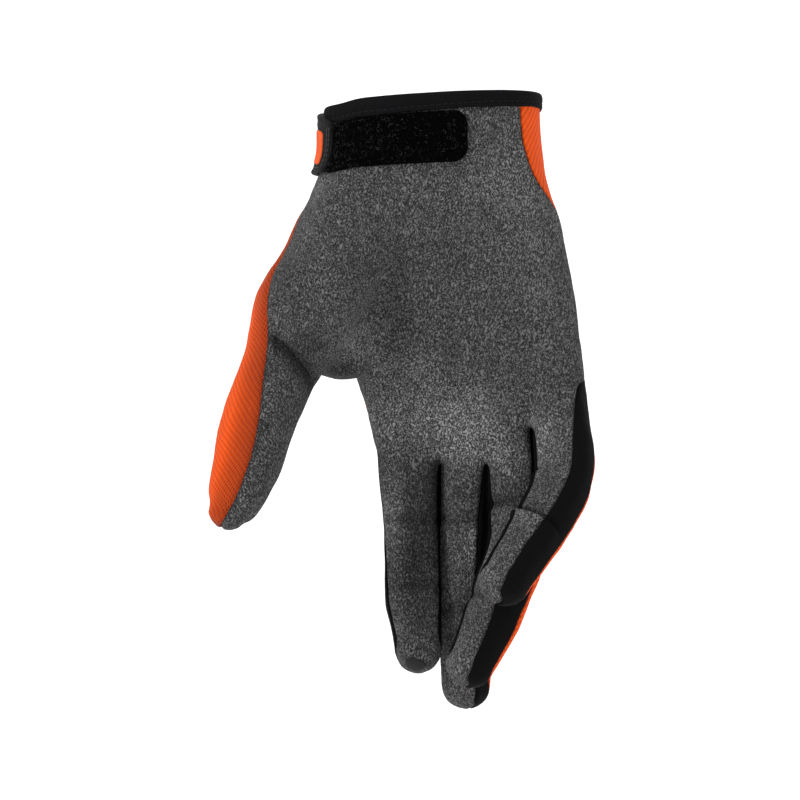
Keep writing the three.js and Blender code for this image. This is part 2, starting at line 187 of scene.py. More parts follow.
@dataclass
class Tube:
    """One tube of the hand's form.

    Attributes:
        rows: Sections as x, y, z, half breadth, half depth to the palm and to the back, and turn.
        squareness: Exponent of the sections' outline.
        tip: Length of the rounded end.
        seams: Row, palm and back seam towards the thumb, palm and back seam on the other side.
        folds: Creases pressed in it.
        level: Whether its sections are tilted level ones instead of square to its centre line.
        tip_seam: Angle at which the palm cloth meets the back cloth on the rounded end.
        strip_to_end: Whether the side strip away from the thumb runs to the very end.
        closing: Lean of the rounded end in degrees, and the share of the seams' gap left there.
        late_closing: The same for a strip that runs to the very end.
        tip_roll: How far the palm cloth rolls over the rounded end.
        strip_roll: The share of that roll beside a strip that runs to the very end.
        steps: How many sections are worked out from one row to the next.
        chunk: How many points are placed at a time.
        tip_power: Exponent of the rounded end's outline.
    """

    rows: Sequence[Sequence[float]]
    squareness: float
    tip: float
    seams: Sequence[Sequence[float]]
    folds: Sequence[Fold] = ()
    level: bool = False
    tip_seam: float | None = None
    strip_to_end: bool = False
    closing: tuple[tuple[float, ...], ...] = ((0, 32, 66, 90), (1.0, 0.7, 0.0, 0.0))
    late_closing: tuple[tuple[float, ...], ...] = ((0, 58, 82, 90), (1.0, 0.94, 0.0, 0.0))
    tip_roll: float = 2.6
    strip_roll: float = 0.3
    steps: int = 22
    chunk: int = 150000
    tip_power: float = 2.25

    def __post_init__(self) -> None:
        """Work out the sections along the tube."""
        table = np.array(self.rows, float)
        last = len(table) - 1
        self.row = np.linspace(0, last, last * self.steps + 1)
        values, slopes = self.catmull_rom(table, self.row)
        self.centre = values[:, :3]
        self.halves = values[:, 3:6]
        turn = np.radians(values[:, 6])
        nothing = np.zeros_like(turn)
        if self.level:
            self.along = np.stack([np.sin(turn), nothing, -np.cos(turn)], 1)
            roll = nothing
        else:
            self.along = unit(slopes[:, :3])
            roll = turn
        forward = np.stack([np.sin(roll), -np.cos(roll), nothing], 1)
        forward -= self.along * (forward * self.along).sum(1, keepdims=True)
        self.forward = unit(forward)
        self.across = np.cross(self.forward, self.along)
        self.length = run_along(self.centre)

    @staticmethod
    def catmull_rom(table: Array, at: Array) -> tuple[Array, Array]:
        """Values and slopes of a smooth curve through a table's rows.

        Args:
            table: The rows.
            at: Row numbers, which may be fractions.

        Returns:
            The values there and their slopes per row.
        """
        before = 2 * table[0] - table[1]
        after = 2 * table[-1] - table[-2]
        full = np.vstack([before, table, after])
        index = np.minimum(at.astype(int), len(table) - 2)
        s = (at - index)[:, None]
        p0, p1, p2, p3 = (full[index + k] for k in range(4))
        m1, m2 = (p2 - p0) / 2, (p3 - p1) / 2
        c2 = -3 * p1 + 3 * p2 - 2 * m1 - m2
        c3 = 2 * p1 - 2 * p2 + m1 + m2
        return p1 + m1 * s + c2 * s**2 + c3 * s**3, m1 + 2 * c2 * s + 3 * c3 * s**2

    def place(self, points: Array) -> Placed:
        """Find where points lie in the tube.

        Args:
            points: Rows of x, y, z.

        Returns:
            Their places.
        """
        parts = [self._place(points[i : i + self.chunk]) for i in range(0, len(points), self.chunk)]
        columns = ([getattr(part, name) for part in parts] for name in Placed.__annotations__)
        return Placed(*(np.concatenate(column) for column in columns))

    def _place(self, points: Array) -> Placed:
        """Find where a chunk of points lies in the tube.

        Args:
            points: Rows of x, y, z.

        Returns:
            Their places.
        """
        if self.level:
            heights = points @ self.along.T - (self.centre * self.along).sum(1)
            near = np.abs(heights).argmin(1)
        else:
            near = ((self.centre**2).sum(1) - 2 * points @ self.centre.T).argmin(1)
        inward = ((points - self.centre[near]) * self.along[near]).sum(1)
        other = np.clip(near + np.sign(inward).astype(int), 0, len(self.row) - 1)
        outward = ((points - self.centre[other]) * self.along[other]).sum(1)
        gap = np.where(inward == outward, 1, inward - outward)
        share = np.where(inward * outward < 0, inward / gap, 0.0)

        def mix(values: Array) -> Array:
            """Values between the two nearest sections."""
            part = share[:, None] if values.ndim > 1 else share
            return values[near] + (values[other] - values[near]) * part

        offset = points - mix(self.centre)
        u = (offset * unit(mix(self.across))).sum(1)
        v = (offset * unit(mix(self.forward))).sum(1)
        side, front, back = mix(self.halves).T
        deep = np.where(v > 0, front, back)
        n = self.squareness
        x, y = np.abs(u) / side, np.abs(v) / deep
        rho = np.maximum((x**n + y**n) ** (1 / n), 0.05)
        slope = rho ** (1 - n) * np.hypot(x ** (n - 1) / side, y ** (n - 1) / deep)
        past = np.where((near == len(self.row) - 1) & (inward > 0), inward, 0.0)
        p, z = self.tip_power, past / self.tip
        rounded = (rho**p + z**p) ** (1 / p)
        steep = rounded ** (1 - p) * np.hypot(rho ** (p - 1) * slope, z ** (p - 1) / self.tip)
        distance = (rounded - 1) / np.maximum(steep, 1e-4)
        before = np.where((near == 0) & (inward < 0), -inward, 0.0)
        if not self.level:
            distance = np.where(before > 0, np.maximum(distance, before), distance)
        angle = np.degrees(np.arctan2(np.sign(u) * x ** (n / 2), np.sign(v) * y ** (n / 2)))
        return Placed(
            row=mix(self.row),
            along=mix(self.length) + past - before,
            angle=angle,
            distance=distance,
            radius=np.hypot(u, v),
            depth=v,
            beyond=past,
            across=np.sign(u) * self.arc(180 - np.abs(angle), side, back, front),
        )

    def arc(self, turned: Array, side: Array, back: Array, front: Array) -> Array:
        """Length round a section from the middle of its back.

        Args:
            turned: Degrees from the middle of the back.
            side: Half breadths.
            back: Half depths to the back.
            front: Half depths to the palm.

        Returns:
            The lengths.
        """
        angles = np.radians(np.linspace(0, 180, 73))
        power = 2 / self.squareness
        middle = self.halves[len(self.halves) // 2]
        deep = np.where(angles < math.pi / 2, middle[2], middle[1])
        upright = np.sign(np.cos(angles)) * np.abs(np.cos(angles)) ** power
        outline = np.stack([middle[0] * np.sin(angles) ** power, deep * upright], 1)
        run = run_along(outline)
        scale = (side + (back + front) / 2) / (middle[0] + (middle[1] + middle[2]) / 2)
        return np.interp(np.radians(turned), angles, run) * scale

    def surface(self, row: float, angle: float) -> Array:
        """A point of the tube's surface.

        Args:
            row: Row number.
            angle: Degrees from the middle of the palm side.

        Returns:
            The point.
        """

        def pick(values: Array) -> Array:
            """Values at the row."""
            return np.array([np.interp(row, self.row, column) for column in values.T])

        side, front, back = pick(self.halves)
        sine, cosine = math.sin(math.radians(angle)), math.cos(math.radians(angle))
        power = 2 / self.squareness
        u = side * math.copysign(abs(sine) ** power, sine)
        v = (front if cosine > 0 else back) * math.copysign(abs(cosine) ** power, cosine)
        return pick(self.centre) + pick(self.across) * u + pick(self.forward) * v

    def seam_fields(self, place: Placed) -> tuple[Array, Array]:
        """How far points lie inside the palm cloth and inside the back cloth.

        Args:
            place: The points' places in the tube.

        Returns:
            Millimetres inside the palm's seam and inside the back's seam.
        """
        table = np.array(self.seams, float)
        thumb_palm, thumb_back, other_palm, other_back = (
            np.interp(place.row, table[:, 0], table[:, column]) for column in range(1, 5)
        )
        thumbward = place.angle < 0
        palm = np.where(thumbward, thumb_palm, other_palm)
        back = np.where(thumbward, thumb_back, other_back)
        lean = np.degrees(np.arcsin(np.clip(place.beyond / self.tip, 0, 1)))
        opening = np.interp(lean, *self.closing)
        meet = (palm + back) / 2 if self.tip_seam is None else self.tip_seam
        roll = 0.0 if self.tip_seam is None else self.tip_roll * np.clip(place.beyond / self.tip, 0, 1)
        held, rolled = opening, roll
        if self.strip_to_end:
            held = np.where(thumbward, opening, np.interp(lean, *self.late_closing))
            rolled = np.where(thumbward, roll, self.strip_roll * roll)
        palm, back = meet + (palm - meet) * held, meet + (back - meet) * opening
        turned = np.abs(place.angle)
        millimetres = np.radians(1) * place.radius
        return (palm - turned) * millimetres + rolled, (turned - back) * millimetres - roll

    def fold_height(self, place: Placed) -> Array:
        """Height that the tube's folds give its surface.

        Args:
            place: The points' places in the tube.

        Returns:
            Heights, negative where a fold presses in.
        """
        height = np.zeros(len(place.row))
        for fold in self.folds:
            start = np.interp(fold.row, self.row, self.length)
            away = (place.angle - fold.angle + 180) % 360 - 180
            share = np.clip(np.abs(away) / fold.spread, 0, 1)
            reach = np.cos(share * math.pi / 2) ** 0.7
            run = place.along - start - fold.slant * away / fold.spread
            height -= fold.depth * reach * bump(run, fold.width)
            over = np.where(run > 0, np.exp(-((run / (4.5 * fold.width)) ** 2)), 0.0)
            rise = np.clip((run - 0.4 * fold.width) / fold.width, 0, 1)
            height += fold.lip * reach * over * rise * rise * (3 - 2 * rise)
        return height


@dataclass
class Skin:
    """A sheet of triangles with values at its points.

    Attributes:
        points: Rows of x, y, z.
        triangles: Rows of three point numbers.
        fields: Values at the points, by name.
    """

    points: Array
    triangles: Array
    fields: dict[str, Array] = field(default_factory=dict)

    def sides(self) -> Array:
        """The sides of every triangle, as rows of two point numbers, the lower one first."""
        return np.sort(np.concatenate([self.triangles[:, [k, (k + 1) % 3]] for k in range(3)]), axis=1)

    def smoothed(self, values: Array, rounds: int) -> Array:
        """Move values half of the way to their neighbours' average.

        Args:
            values: Values at the points.
            rounds: How often they are moved.

        Returns:
            The smoothed values.
        """
        edges = np.unique(self.sides(), axis=0)
        count = np.bincount(edges.ravel(), minlength=len(self.points)).astype(float)
        columns = values.reshape(len(values), -1).astype(float)
        for _ in range(rounds):
            for c in range(columns.shape[1]):
                total = np.bincount(edges[:, 0], columns[edges[:, 1], c], len(self.points))
                total += np.bincount(edges[:, 1], columns[edges[:, 0], c], len(self.points))
                columns[:, c] += 0.5 * (total / np.maximum(count, 1) - columns[:, c])
        return columns.reshape(values.shape)

    def normals(self) -> Array:
        """Outward normals at the points."""
        a, b, c = (self.points[self.triangles[:, k]] for k in range(3))
        faces = np.cross(b - a, c - a)
        total = np.zeros_like(self.points)
        for k in range(3):
            for axis in range(3):
                total[:, axis] += np.bincount(self.triangles[:, k], faces[:, axis], len(self.points))
        return unit(total)

    def split(self, name: str, snap: float = 0.1) -> None:
        """Cut the triangles along the line where a field is zero.

        Args:
            name: The field.
            snap: Values nearer to zero than this become zero.
        """
        values = self.fields[name]
        values[np.abs(values) < snap] = 0.0
        signs = np.sign(values)[self.triangles]
        after = np.roll(signs, -1, axis=1)
        crossed = signs * after < 0
        ends = np.stack([self.triangles, np.roll(self.triangles, -1, axis=1)], axis=2)
        pairs, inverse = np.unique(np.sort(ends[crossed], axis=1), axis=0, return_inverse=True)
        if not len(pairs):
            return
        cut = np.full(self.triangles.shape, -1)
        cut[crossed] = len(self.points) + inverse.ravel()
        low, high = values[pairs[:, 0]], values[pairs[:, 1]]
        share = (low / (low - high))[:, None]

        def blend(old: Array) -> Array:
            """Values at the new points."""
            part = share if old.ndim > 1 else share[:, 0]
            return old[pairs[:, 0]] + (old[pairs[:, 1]] - old[pairs[:, 0]]) * part

        self.points = np.concatenate([self.points, blend(self.points)])
        for key, old in self.fields.items():
            self.fields[key] = np.concatenate([old, blend(old)])
        self.fields[name][-len(pairs) :] = 0.0
        number = crossed.sum(axis=1)
        pieces = [self.triangles[number == 0]]
        for k in range(3):
            corner, follow, opposite = k, (k + 1) % 3, (k + 2) % 3
            once = (number == 1) & crossed[:, k]
            a, b, c = (self.triangles[once][:, i] for i in (corner, follow, opposite))
            p = cut[once][:, k]
            pieces += [np.stack([a, p, c], 1), np.stack([p, b, c], 1)]
            twice = (number == 2) & crossed[:, k] & crossed[:, opposite]
            a, b, c = (self.triangles[twice][:, i] for i in (corner, follow, opposite))
            p, q = cut[twice][:, k], cut[twice][:, opposite]
            pieces += [np.stack([a, p, q], 1), np.stack([p, b, c], 1), np.stack([p, c, q], 1)]
        self.triangles = np.concatenate(pieces)

    def middle(self, name: str) -> Array:
        """A field's value in the middle of each triangle."""
        return self.fields[name][self.triangles].mean(axis=1)

    def part(self, wanted: Array) -> "Skin":
        """The triangles that are wanted, with their own points.

        Args:
            wanted: Whether each triangle is wanted.

        Returns:
            A skin of those triangles.
        """
        triangles = self.triangles[wanted]
        used, inverse = np.unique(triangles, return_inverse=True)
        fields = {key: values[used].copy() for key, values in self.fields.items()}
        return Skin(self.points[used].copy(), inverse.reshape(triangles.shape), fields)

    def borders(self) -> list[Array]:
        """The open borders as chains of point numbers, the longest first."""
        edges, count = np.unique(self.sides(), axis=0, return_counts=True)
        return chains(edges[count == 1])


def search_tree(skin: Skin) -> BVHTree:
    """A search tree of a skin's triangles."""
    return BVHTree.FromPolygons(skin.points.tolist(), skin.triangles.tolist())


def chains(edges: Array) -> list[Array]:
    """Join edges end to end.

    Args:
        edges: Rows of two point numbers.

    Returns:
        Chains of point numbers, the longest first. A closed chain repeats its first point.
    """
    links: dict[int, list[int]] = {}
    for a, b in edges.tolist():
        links.setdefault(a, []).append(b)
        links.setdefault(b, []).append(a)
    left = {tuple(sorted(edge)) for edge in edges.tolist()}
    found = []
    starts = sorted(links, key=lambda point: (len(links[point]) == 2, point))
    for start in starts:
        chain = [start]
        while True:
            here = chain[-1]
            onward = [point for point in links[here] if tuple(sorted((here, point))) in left]
            if not onward:
                break
            left.discard(tuple(sorted((here, onward[0]))))
            chain.append(onward[0])
        if len(chain) > 1:
            found.append(np.array(chain))
    return sorted(found, key=len, reverse=True)


def surface_net(values: Array, origin: Array, step: float) -> Skin:
    """The surface where a grid of distances is zero.

    Args:
        values: Distances on the grid, negative inside.
        origin: Place of the grid's first point.
        step: Spacing of the grid.

    Returns:
        The surface, its triangles facing out.
    """
    size = np.array(values.shape) - 1

    def corner(at: Sequence[int]) -> Array:
        """Distances at one corner of every cell."""
        return values[tuple(slice(at[k], at[k] + size[k]) for k in range(3))]

    offsets = list(itertools.product((0, 1), repeat=3))
    below = sum((corner(o) < 0).astype(np.int8) for o in offsets)
    cells = np.argwhere((below > 0) & (below < 8))
    number = np.full(size, -1)
    number[tuple(cells.T)] = np.arange(len(cells))
    total = np.zeros((len(cells), 3))
    hits = np.zeros(len(cells))
    for start in offsets:
        for axis in range(3):
            if start[axis]:
                continue
            end = tuple(s + (k == axis) for k, s in enumerate(start))
            a = corner(start)[tuple(cells.T)]
            b = corner(end)[tuple(cells.T)]
            crossed = (a < 0) != (b < 0)
            share = np.where(crossed, a / np.where(crossed, a - b, 1), 0)
            place = np.tile(np.array(start, float), (len(cells), 1))
            place[:, axis] += share
            total += place * crossed[:, None]
            hits += crossed
    points = origin + step * (cells + total / hits[:, None])
    quads = []
    for axis in range(3):
        b, c = (axis + 1) % 3, (axis + 2) % 3
        low = [slice(1, -1)] * 3
        low[axis] = slice(0, -1)
        high = [slice(1, -1)] * 3
        high[axis] = slice(1, None)
        first, second = values[tuple(low)] < 0, values[tuple(high)] < 0
        for inside_first in (True, False):
            at = np.argwhere((first != second) & (first == inside_first))
            at[:, b] += 1
            at[:, c] += 1
            ring = []
            for db, dc in ((1, 1), (0, 1), (0, 0), (1, 0)):
                cell = at.copy()
                cell[:, b] -= db
                cell[:, c] -= dc
                ring.append(number[tuple(cell.T)])
            quad = np.stack(ring, 1)
            quads.append(quad if inside_first else quad[:, ::-1])
    quads = np.concatenate(quads)
    quads = quads[(quads >= 0).all(axis=1)]

    def span(i: int, j: int) -> Array:
        """Distance between two corners of every face."""
        return np.linalg.norm(points[quads[:, i]] - points[quads[:, j]], axis=1)

    short = span(0, 2) <= span(1, 3)
    one = np.where(short[:, None], quads[:, [0, 1, 2]], quads[:, [0, 1, 3]])
    two = np.where(short[:, None], quads[:, [0, 2, 3]], quads[:, [1, 2, 3]])
    return Skin(points, np.concatenate([one, two]))


def hand_tubes() -> dict[str, Tube]:
    """The tubes of the hand's form.

    Returns:
        The tubes by name, in the order in which they are joined.
    """
    body = Tube(
        rows=(
            (-0.75, 0.0, -1.3, 40.5, 22.6, 22.6, 3.6),
            (-0.8, 1.0, -7.5, 40.7, 23.1, 23.2, 3.6),
            (-0.8, 2.0, -18.5, 41.2, 23.6, 23.0, 3.2),
            (-1.2, 4.0, -30.5, 43.5, 23.5, 22.5, 2.4),
            (3.0, 6.0, -45.5, 44.4, 23.0, 21.5, 1.4),
            (6.0, 9.0, -60.0, 45.0, 22.0, 20.5, 0),
            (9.0, 12.0, -75.0, 45.2, 20.5, 19.5, 0),
            (12.0, 15.0, -92.5, 44.4, 18.8, 18.0, 0),
            (14.0, 17.0, -105.0, 43.2, 16.4, 15.6, 3),
            (15.9, 18.0, -115.0, 40.8, 13.6, 12.8, 6),
            (16.2, 18.6, -122.0, 39.2, 11.4, 10.6, 8),
        ),
        squareness=2.6,
        tip=4.5,
        seams=(
            (0, 100, 100, 48, 48),
            (2, 98, 98, 50, 50),
            (3, 95, 95, 57, 57),
            (3.5, 92, 92, 69, 69),
            (4, 90, 90, 91, 91),
            (5, 90, 90, 94, 94),
            (8, 90, 90, 94, 94),
            (10, 90, 90, 90, 90),
        ),
        level=True,
    )
    web = Tube(
        rows=(
            (-30.0, 3.0, -50.5, 12.0, 15.0, 15.0, 0),
            (-33.0, 3.0, -71.5, 14.0, 13.0, 13.0, 0),
            (-36.0, 2.0, -88.5, 12.5, 10.5, 10.5, 0),
            (-37.0, 1.0, -101.8, 10.0, 7.0, 7.0, 0),
        ),
        squareness=2.4,
        tip=3.5,
        tip_seam=150,
        seams=((0, 90, 90, 90, 90), (2, 90, 90, 90, 90), (3, 104, 104, 104, 104)),
    )
    knuckles = Tube(
        rows=(
            (10.5, 18.2, -108.0, 26.0, 12.0, 11.0, 0),
            (10.5, 19.0, -124.0, 23.0, 12.0, 10.8, 0),
            (10.5, 19.4, -134.0, 21.0, 10.4, 9.8, 0),
        ),
        squareness=3.2,
        tip=3,
        seams=((0, 90, 90, 90, 90),),
    )
    thumb = Tube(
        rows=(
            (-21.5, 2.0, -28.0, 14.2, 17.0, 18.0, 8),
            (-31.0, 0.0, -46.0, 18.6, 21.0, 19.0, 10),
            (-41.2, -4.0, -65.0, 18.0, 23.0, 18.5, 20),
            (-50.4, -10.0, -82.5, 18.2, 19.2, 17.0, 38),
            (-57.6, -17.0, -100.5, 15.0, 13.4, 13.2, 62),
            (-65.5, -24.0, -121.0, 13.6, 13.2, 13.4, 78),
            (-69.1, -28.7, -136.5, 12.6, 11.7, 13.0, 80),
            (-74.2, -32.6, -150.2, 9.4, 9.9, 9.8, 78),
            (-77.0, -34.2, -155.6, 6.4, 6.6, 6.2, 78),
        ),
        squareness=2.4,
        tip=5,
        seams=(
            (1, 99, 99, 90, 90),
            (3, 90, 90, 90, 90),
            (4, 86, 86, 90, 90),
            (5, 77, 77, 90, 90),
            (7, 72, 72, 90, 90),
        ),
    )
    index = Tube(
        rows=(
            (-11.2, 17.5, -114.0, 12.9, 10.4, 10.4, 0),
            (-9.9, 18.0, -136.5, 12.0, 10.2, 10.4, 3),
            (-8.7, 17.2, -160.0, 10.8, 9.8, 9.9, 3),
            (-8.3, 11.8, -187.5, 10.7, 9.6, 9.5, 7),
            (-6.4, 4.8, -206.5, 8.9, 8.8, 8.6, 8),
        ),
        squareness=2.4,
        tip=11,
        tip_seam=155,
        seams=((0, 92, 112, 62, 116), (2, 86, 116, 62, 116), (3, 72, 116, 62, 116)),
        folds=(
            Fold(2.0, 0, 80, 0.7, 2.2, 0.25, 1.0),
            Fold(2.95, 0, 80, 0.6, 1.8, 0.25, -1.0),
        ),
    )
    middle = Tube(
        rows=(
            (11.4, 19.0, -114.0, 10.4, 10.4, 10.4, -4),
            (11.3, 20.6, -137.0, 10.9, 10.3, 10.5, -14),
            (11.6, 21.2, -160.0, 11.0, 9.9, 10.0, -28),
            (12.0, 17.8, -195.5, 10.8, 9.6, 10.2, -30),
            (12.4, 15.0, -209.0, 10.0, 9.4, 10.8, -34),
            (12.0, 12.0, -222.0, 8.9, 8.7, 8.4, -36),
        ),
        squareness=2.4,
        tip=10,
        tip_seam=155,
        strip_to_end=True,
        seams=((0, 62, 116, 62, 116), (2, 62, 116, 56, 114), (5, 62, 116, 60, 114)),
        folds=(Fold(2.0, 0, 80, 0.7, 2.0, 0.25), Fold(3.0, 0, 80, 0.6, 1.8, 0.2)),
    )
    ring = Tube(
        rows=(
            (29.5, 18.5, -110.0, 10.4, 10.4, 10.4, -4),
            (30.2, 17.8, -132.5, 10.3, 10.3, 10.3, -7),
            (32.2, 12.5, -154.0, 10.8, 10.0, 10.0, -24),
            (31.0, 7.5, -171.0, 11.0, 10.4, 10.4, -36),
            (22.5, -3.5, -194.0, 11.0, 10.0, 10.2, -50),
            (13.0, -11.5, -212.5, 8.8, 8.4, 8.4, -50),
        ),
        squareness=2.4,
        tip=9,
        tip_seam=172,
        strip_to_end=True,
        seams=(
            (0, 62, 116, 74, 116),
            (2, 46, 116, 66, 114),
            (4, 25, 116, 46, 114),
            (5, 24, 124, 56, 126),
        ),
        folds=(Fold(2.0, -40, 80, 1.3, 2.4, 0.5), Fold(3.9, -20, 80, 0.8, 2.0, 0.3)),
    )
    pinky = Tube(
        rows=(
            (45.5, 15.5, -95.0, 9.5, 9.5, 9.5, -6),
            (46.8, 13.0, -111.0, 10.8, 10.2, 10.2, -12),
            (48.6, 7.4, -127.5, 11.2, 10.0, 10.0, -18),
            (48.6, 0.0, -142.0, 11.4, 9.8, 9.8, -26),
            (43.2, -9.0, -154.5, 10.9, 9.6, 9.6, -34),
            (32.2, -19.5, -170.5, 10.2, 9.4, 9.4, -40),
            (25.5, -24.5, -180.5, 9.4, 8.8, 8.7, -40),
        ),
        squareness=2.4,
        tip=9,
        tip_seam=170,
        strip_to_end=True,
        seams=(
            (0, 74, 116, 80, 96),
            (1, 66, 116, 55, 106),
            (2, 52, 116, 36, 108),
            (4, 34, 116, 34, 116),
            (6, 30, 120, 31, 120),
        ),
        folds=(Fold(4.4, -5, 95, 1.9, 1.0, 1.7, 1.5), Fold(3.1, -50, 40, 0.7, 1.2, 0.3, 1.5)),
    )
    hand = {"body": body, "web": web, "knuckles": knuckles, "thumb": thumb}
    return {**hand, "index": index, "middle": middle, "ring": ring, "pinky": pinky}


@dataclass
class HandForm:
    """The smooth form that the cloth lies on, as tubes that flow into each other.

    Attributes:
        tubes: The tubes by name.
        step: Spacing of the grid that the surface is found on.
        low: The grid's lowest corner.
        high: Its highest corner.
        level_reach: How far the grid of a level tube reaches sideways.
        flows: How far each tube, and then the fingers, flow into the palm.
        slit: Width of the slits between fingers.
        slit_lean: How far the slit beside the index leans from palm to back.
        seam_blend: How softly the fields of one tube pass into those of the next.
        settling: How often the seams' fields are averaged over neighbouring points.
        panel_top: How far below the cuff's mouth the panels begin.
        crease_row: Row of the thumb at which its crease lies.
        crease_slant: How far the crease runs along the thumb for each degree round it.
        knuckle_rows: Row of each finger at which its knuckle seam lies.
        knuckle_band: Depth in front of or behind the knuckles' line at which their seams lie.
        crotches: Two neighbours, height of the crotch between them, and its depth.
        tuck: How far the back cloth draws in between two fingers that touch.
        tuck_reach: How near to their contact it does so.
        mouth_rise: Place from the thumb's side to the other side, and the mouth's height there.
        patch_place: Place of the touch patch, towards the little finger and past the index's last row.
        patch_half: Its half sizes, round the finger and along it.
        patch_slant: How far it slants along the finger.
        patch_grade: How steeply its field rises towards its middle.
    """

    tubes: dict[str, Tube] = field(default_factory=hand_tubes)
    step: float = 0.9
    low: tuple[float, float, float] = (-94.0, -52.0, -238.0)
    high: tuple[float, float, float] = (66.0, 46.0, 8.0)
    level_reach: float = 54.0
    flows: tuple[tuple[str, float], ...] = (("web", 7.0), ("knuckles", 4.0), ("thumb", 6.5), ("fingers", 4.0))
    slit: float = 1.4
    slit_lean: float = 0.5
    seam_blend: float = 1.2
    settling: int = 6
    panel_top: float = 1.3
    crease_row: float = 4.02
    crease_slant: float = 0.062
    knuckle_rows: dict[str, float] = field(
        default_factory=lambda: {"index": 1.14, "middle": 1.14, "ring": 1.38, "pinky": 1.95}
    )
    knuckle_band: float = 5.0
    crotches: tuple[tuple[str, str, float, float], ...] = (
        ("index", "middle", -137.5, 17.0),
        ("middle", "ring", -138.0, 14.0),
        ("ring", "pinky", -124.5, 8.0),
    )
    tuck: float = 8.0
    tuck_reach: float = 1.6
    mouth_rise: tuple[tuple[float, float], ...] = (
        (-43.0, 0.0),
        (-38.5, -0.3),
        (-34.5, -0.2),
        (-29.3, 0.9),
        (-13.3, 1.05),
        (5.7, 1.0),
        (24.7, 0.6),
        (39.9, 0.0),
    )
    patch_place: tuple[float, float] = (-3.2, 8.9)
    patch_half: tuple[float, float] = (4.2, 1.7)
    patch_slant: float = 0.2
    patch_grade: float = 4.0

    def join(self, distances: dict[str, Array], deep: Array, heights: Array) -> Array:
        """Join the tubes' distances to the form's.

        Args:
            distances: Distances outside each tube.
            deep: Places from the palm to the back of the same points.
            heights: Their heights.

        Returns:
            Distances outside the form.
        """
        whole = distances["body"]
        fingers = np.minimum.reduce([distances[name] for name in FINGERS])
        for name, reach in self.flows:
            whole = smooth_minimum(whole, fingers if name == "fingers" else distances[name], reach)
        for first, second, crotch, middle in self.crotches:
            apart = distances[first] - distances[second]
            if first == "index":
                apart = apart + self.slit_lean * np.clip(deep - middle, -8, 8)
            between = (self.slit - np.abs(apart)) / 2
            beside = np.maximum(distances[first], distances[second]) < 0.6 * FAR
            whole = np.where(beside, np.maximum(whole, np.minimum(between, crotch - heights)), whole)
        return whole

    def surface(self) -> Skin:
        """The form's surface, open above the cuff's mouth."""
        low = np.array(self.low)
        counts = np.ceil((np.array(self.high) - low) / self.step).astype(int) + 1
        axes = [low[k] + self.step * np.arange(counts[k]) for k in range(3)]
        distances = {}
        for name, tube in self.tubes.items():
            full = np.full(counts, FAR, np.float32)
            reach = tube.halves.max() * 0.8 + tube.tip
            ends = tube.centre.min(0) - reach, tube.centre.max(0) + reach
            if tube.level:
                ends[1][2] = self.high[2]
                ends[0][0] = tube.centre[:, 0].min() - self.level_reach
                ends[1][0] = tube.centre[:, 0].max() + self.level_reach
            part = tuple(slice(*np.searchsorted(axes[k], (ends[0][k], ends[1][k]))) for k in range(3))
            mesh = np.meshgrid(*(axes[k][part[k]] for k in range(3)), indexing="ij")
            points = np.stack([m.ravel() for m in mesh], 1)
            full[part] = tube.place(points).distance.reshape(mesh[0].shape)
            distances[name] = full
        deep, heights = axes[1][None, :, None], axes[2][None, None, :]
        skin = surface_net(self.join(distances, deep, heights), low, self.step)
        skin.points = skin.smoothed(skin.points, 4)
        return skin

    def cuff(self, depth: float, angle: float) -> tuple[Array, Array]:
        """A point of the cuff's cloth and the way out of it.

        Args:
            depth: How far below the mouth.
            angle: Degrees round the cuff from the middle of the palm side.

        Returns:
            The point and its outward direction.
        """
        body = self.tubes["body"]
        edge = body.surface(0.0, angle)
        run = depth - self.panel_top - eased(edge[0], self.mouth_rise)
        row = float(np.interp(run, body.length, body.row))
        before, after = (body.surface(row, angle + turn) for turn in (-1.5, 1.5))
        point = body.surface(row, angle) + body.along[0] * min(run, 0.0)
        return point, unit(np.cross(body.along[0], after - before))

    def mouth_depth(self, points: Array) -> Array:
        """How far points lie below the cuff's mouth, which dips towards the thumb."""
        along, start = self.tubes["body"].along[0], self.tubes["body"].centre[0]
        return (points - start) @ along + self.panel_top + eased(points[:, 0], self.mouth_rise)

    def dress(self, skin: Skin) -> None:
        """Give a skin the fields that its seams, folds and weave follow.

        Args:
            skin: A surface of this form.
        """
        places = {name: tube.place(skin.points) for name, tube in self.tubes.items()}
        nearest = np.minimum.reduce([place.distance for place in places.values()])
        total = np.zeros(len(skin.points))
        sums = {key: np.zeros(len(skin.points)) for key in ("palm", "back", "fold", "u", "v")}
        for name, tube in self.tubes.items():
            place = places[name]
            weight = np.exp(-np.maximum(place.distance - nearest, 0) / self.seam_blend)
            palm, back = tube.seam_fields(place)
            if name == "knuckles":
                palm, back = place.depth - self.knuckle_band, -place.depth - self.knuckle_band
            start = tube.centre[0]
            total += weight
            sums["palm"] += weight * palm
            sums["back"] += weight * back
            sums["fold"] += weight * tube.fold_height(place)
            middle = np.interp(place.row, tube.row, tube.centre[:, 0])
            sums["u"] += weight * ((start[0] if name in ("ring", "pinky") else middle) + place.across)
            sums["v"] += weight * (start[2] - place.along)
        for key, values in sums.items():
            skin.fields[key] = values / total
        for key in ("palm", "back"):
            skin.fields[key] = skin.smoothed(skin.fields[key], self.settling)
        thumb = places["thumb"]
        hand = np.minimum(places["body"].distance, places["web"].distance)
        skin.fields["thumb"] = skin.smoothed(hand - thumb.distance, self.settling)
        start = np.interp(self.crease_row, self.tubes["thumb"].row, self.tubes["thumb"].length)
        skin.fields["crease"] = thumb.along - start - self.crease_slant * thumb.angle
        skin.fields["thumb_u"], skin.fields["thumb_v"] = thumb.across, thumb.along
        skin.fields["mouth"] = self.mouth_depth(skin.points)
        skin.fields["patch"] = self.patch_field(places["index"])
        closest = np.stack([places[name].distance for name in FINGERS], 1).argmin(1)
        own = np.arange(len(closest)), closest
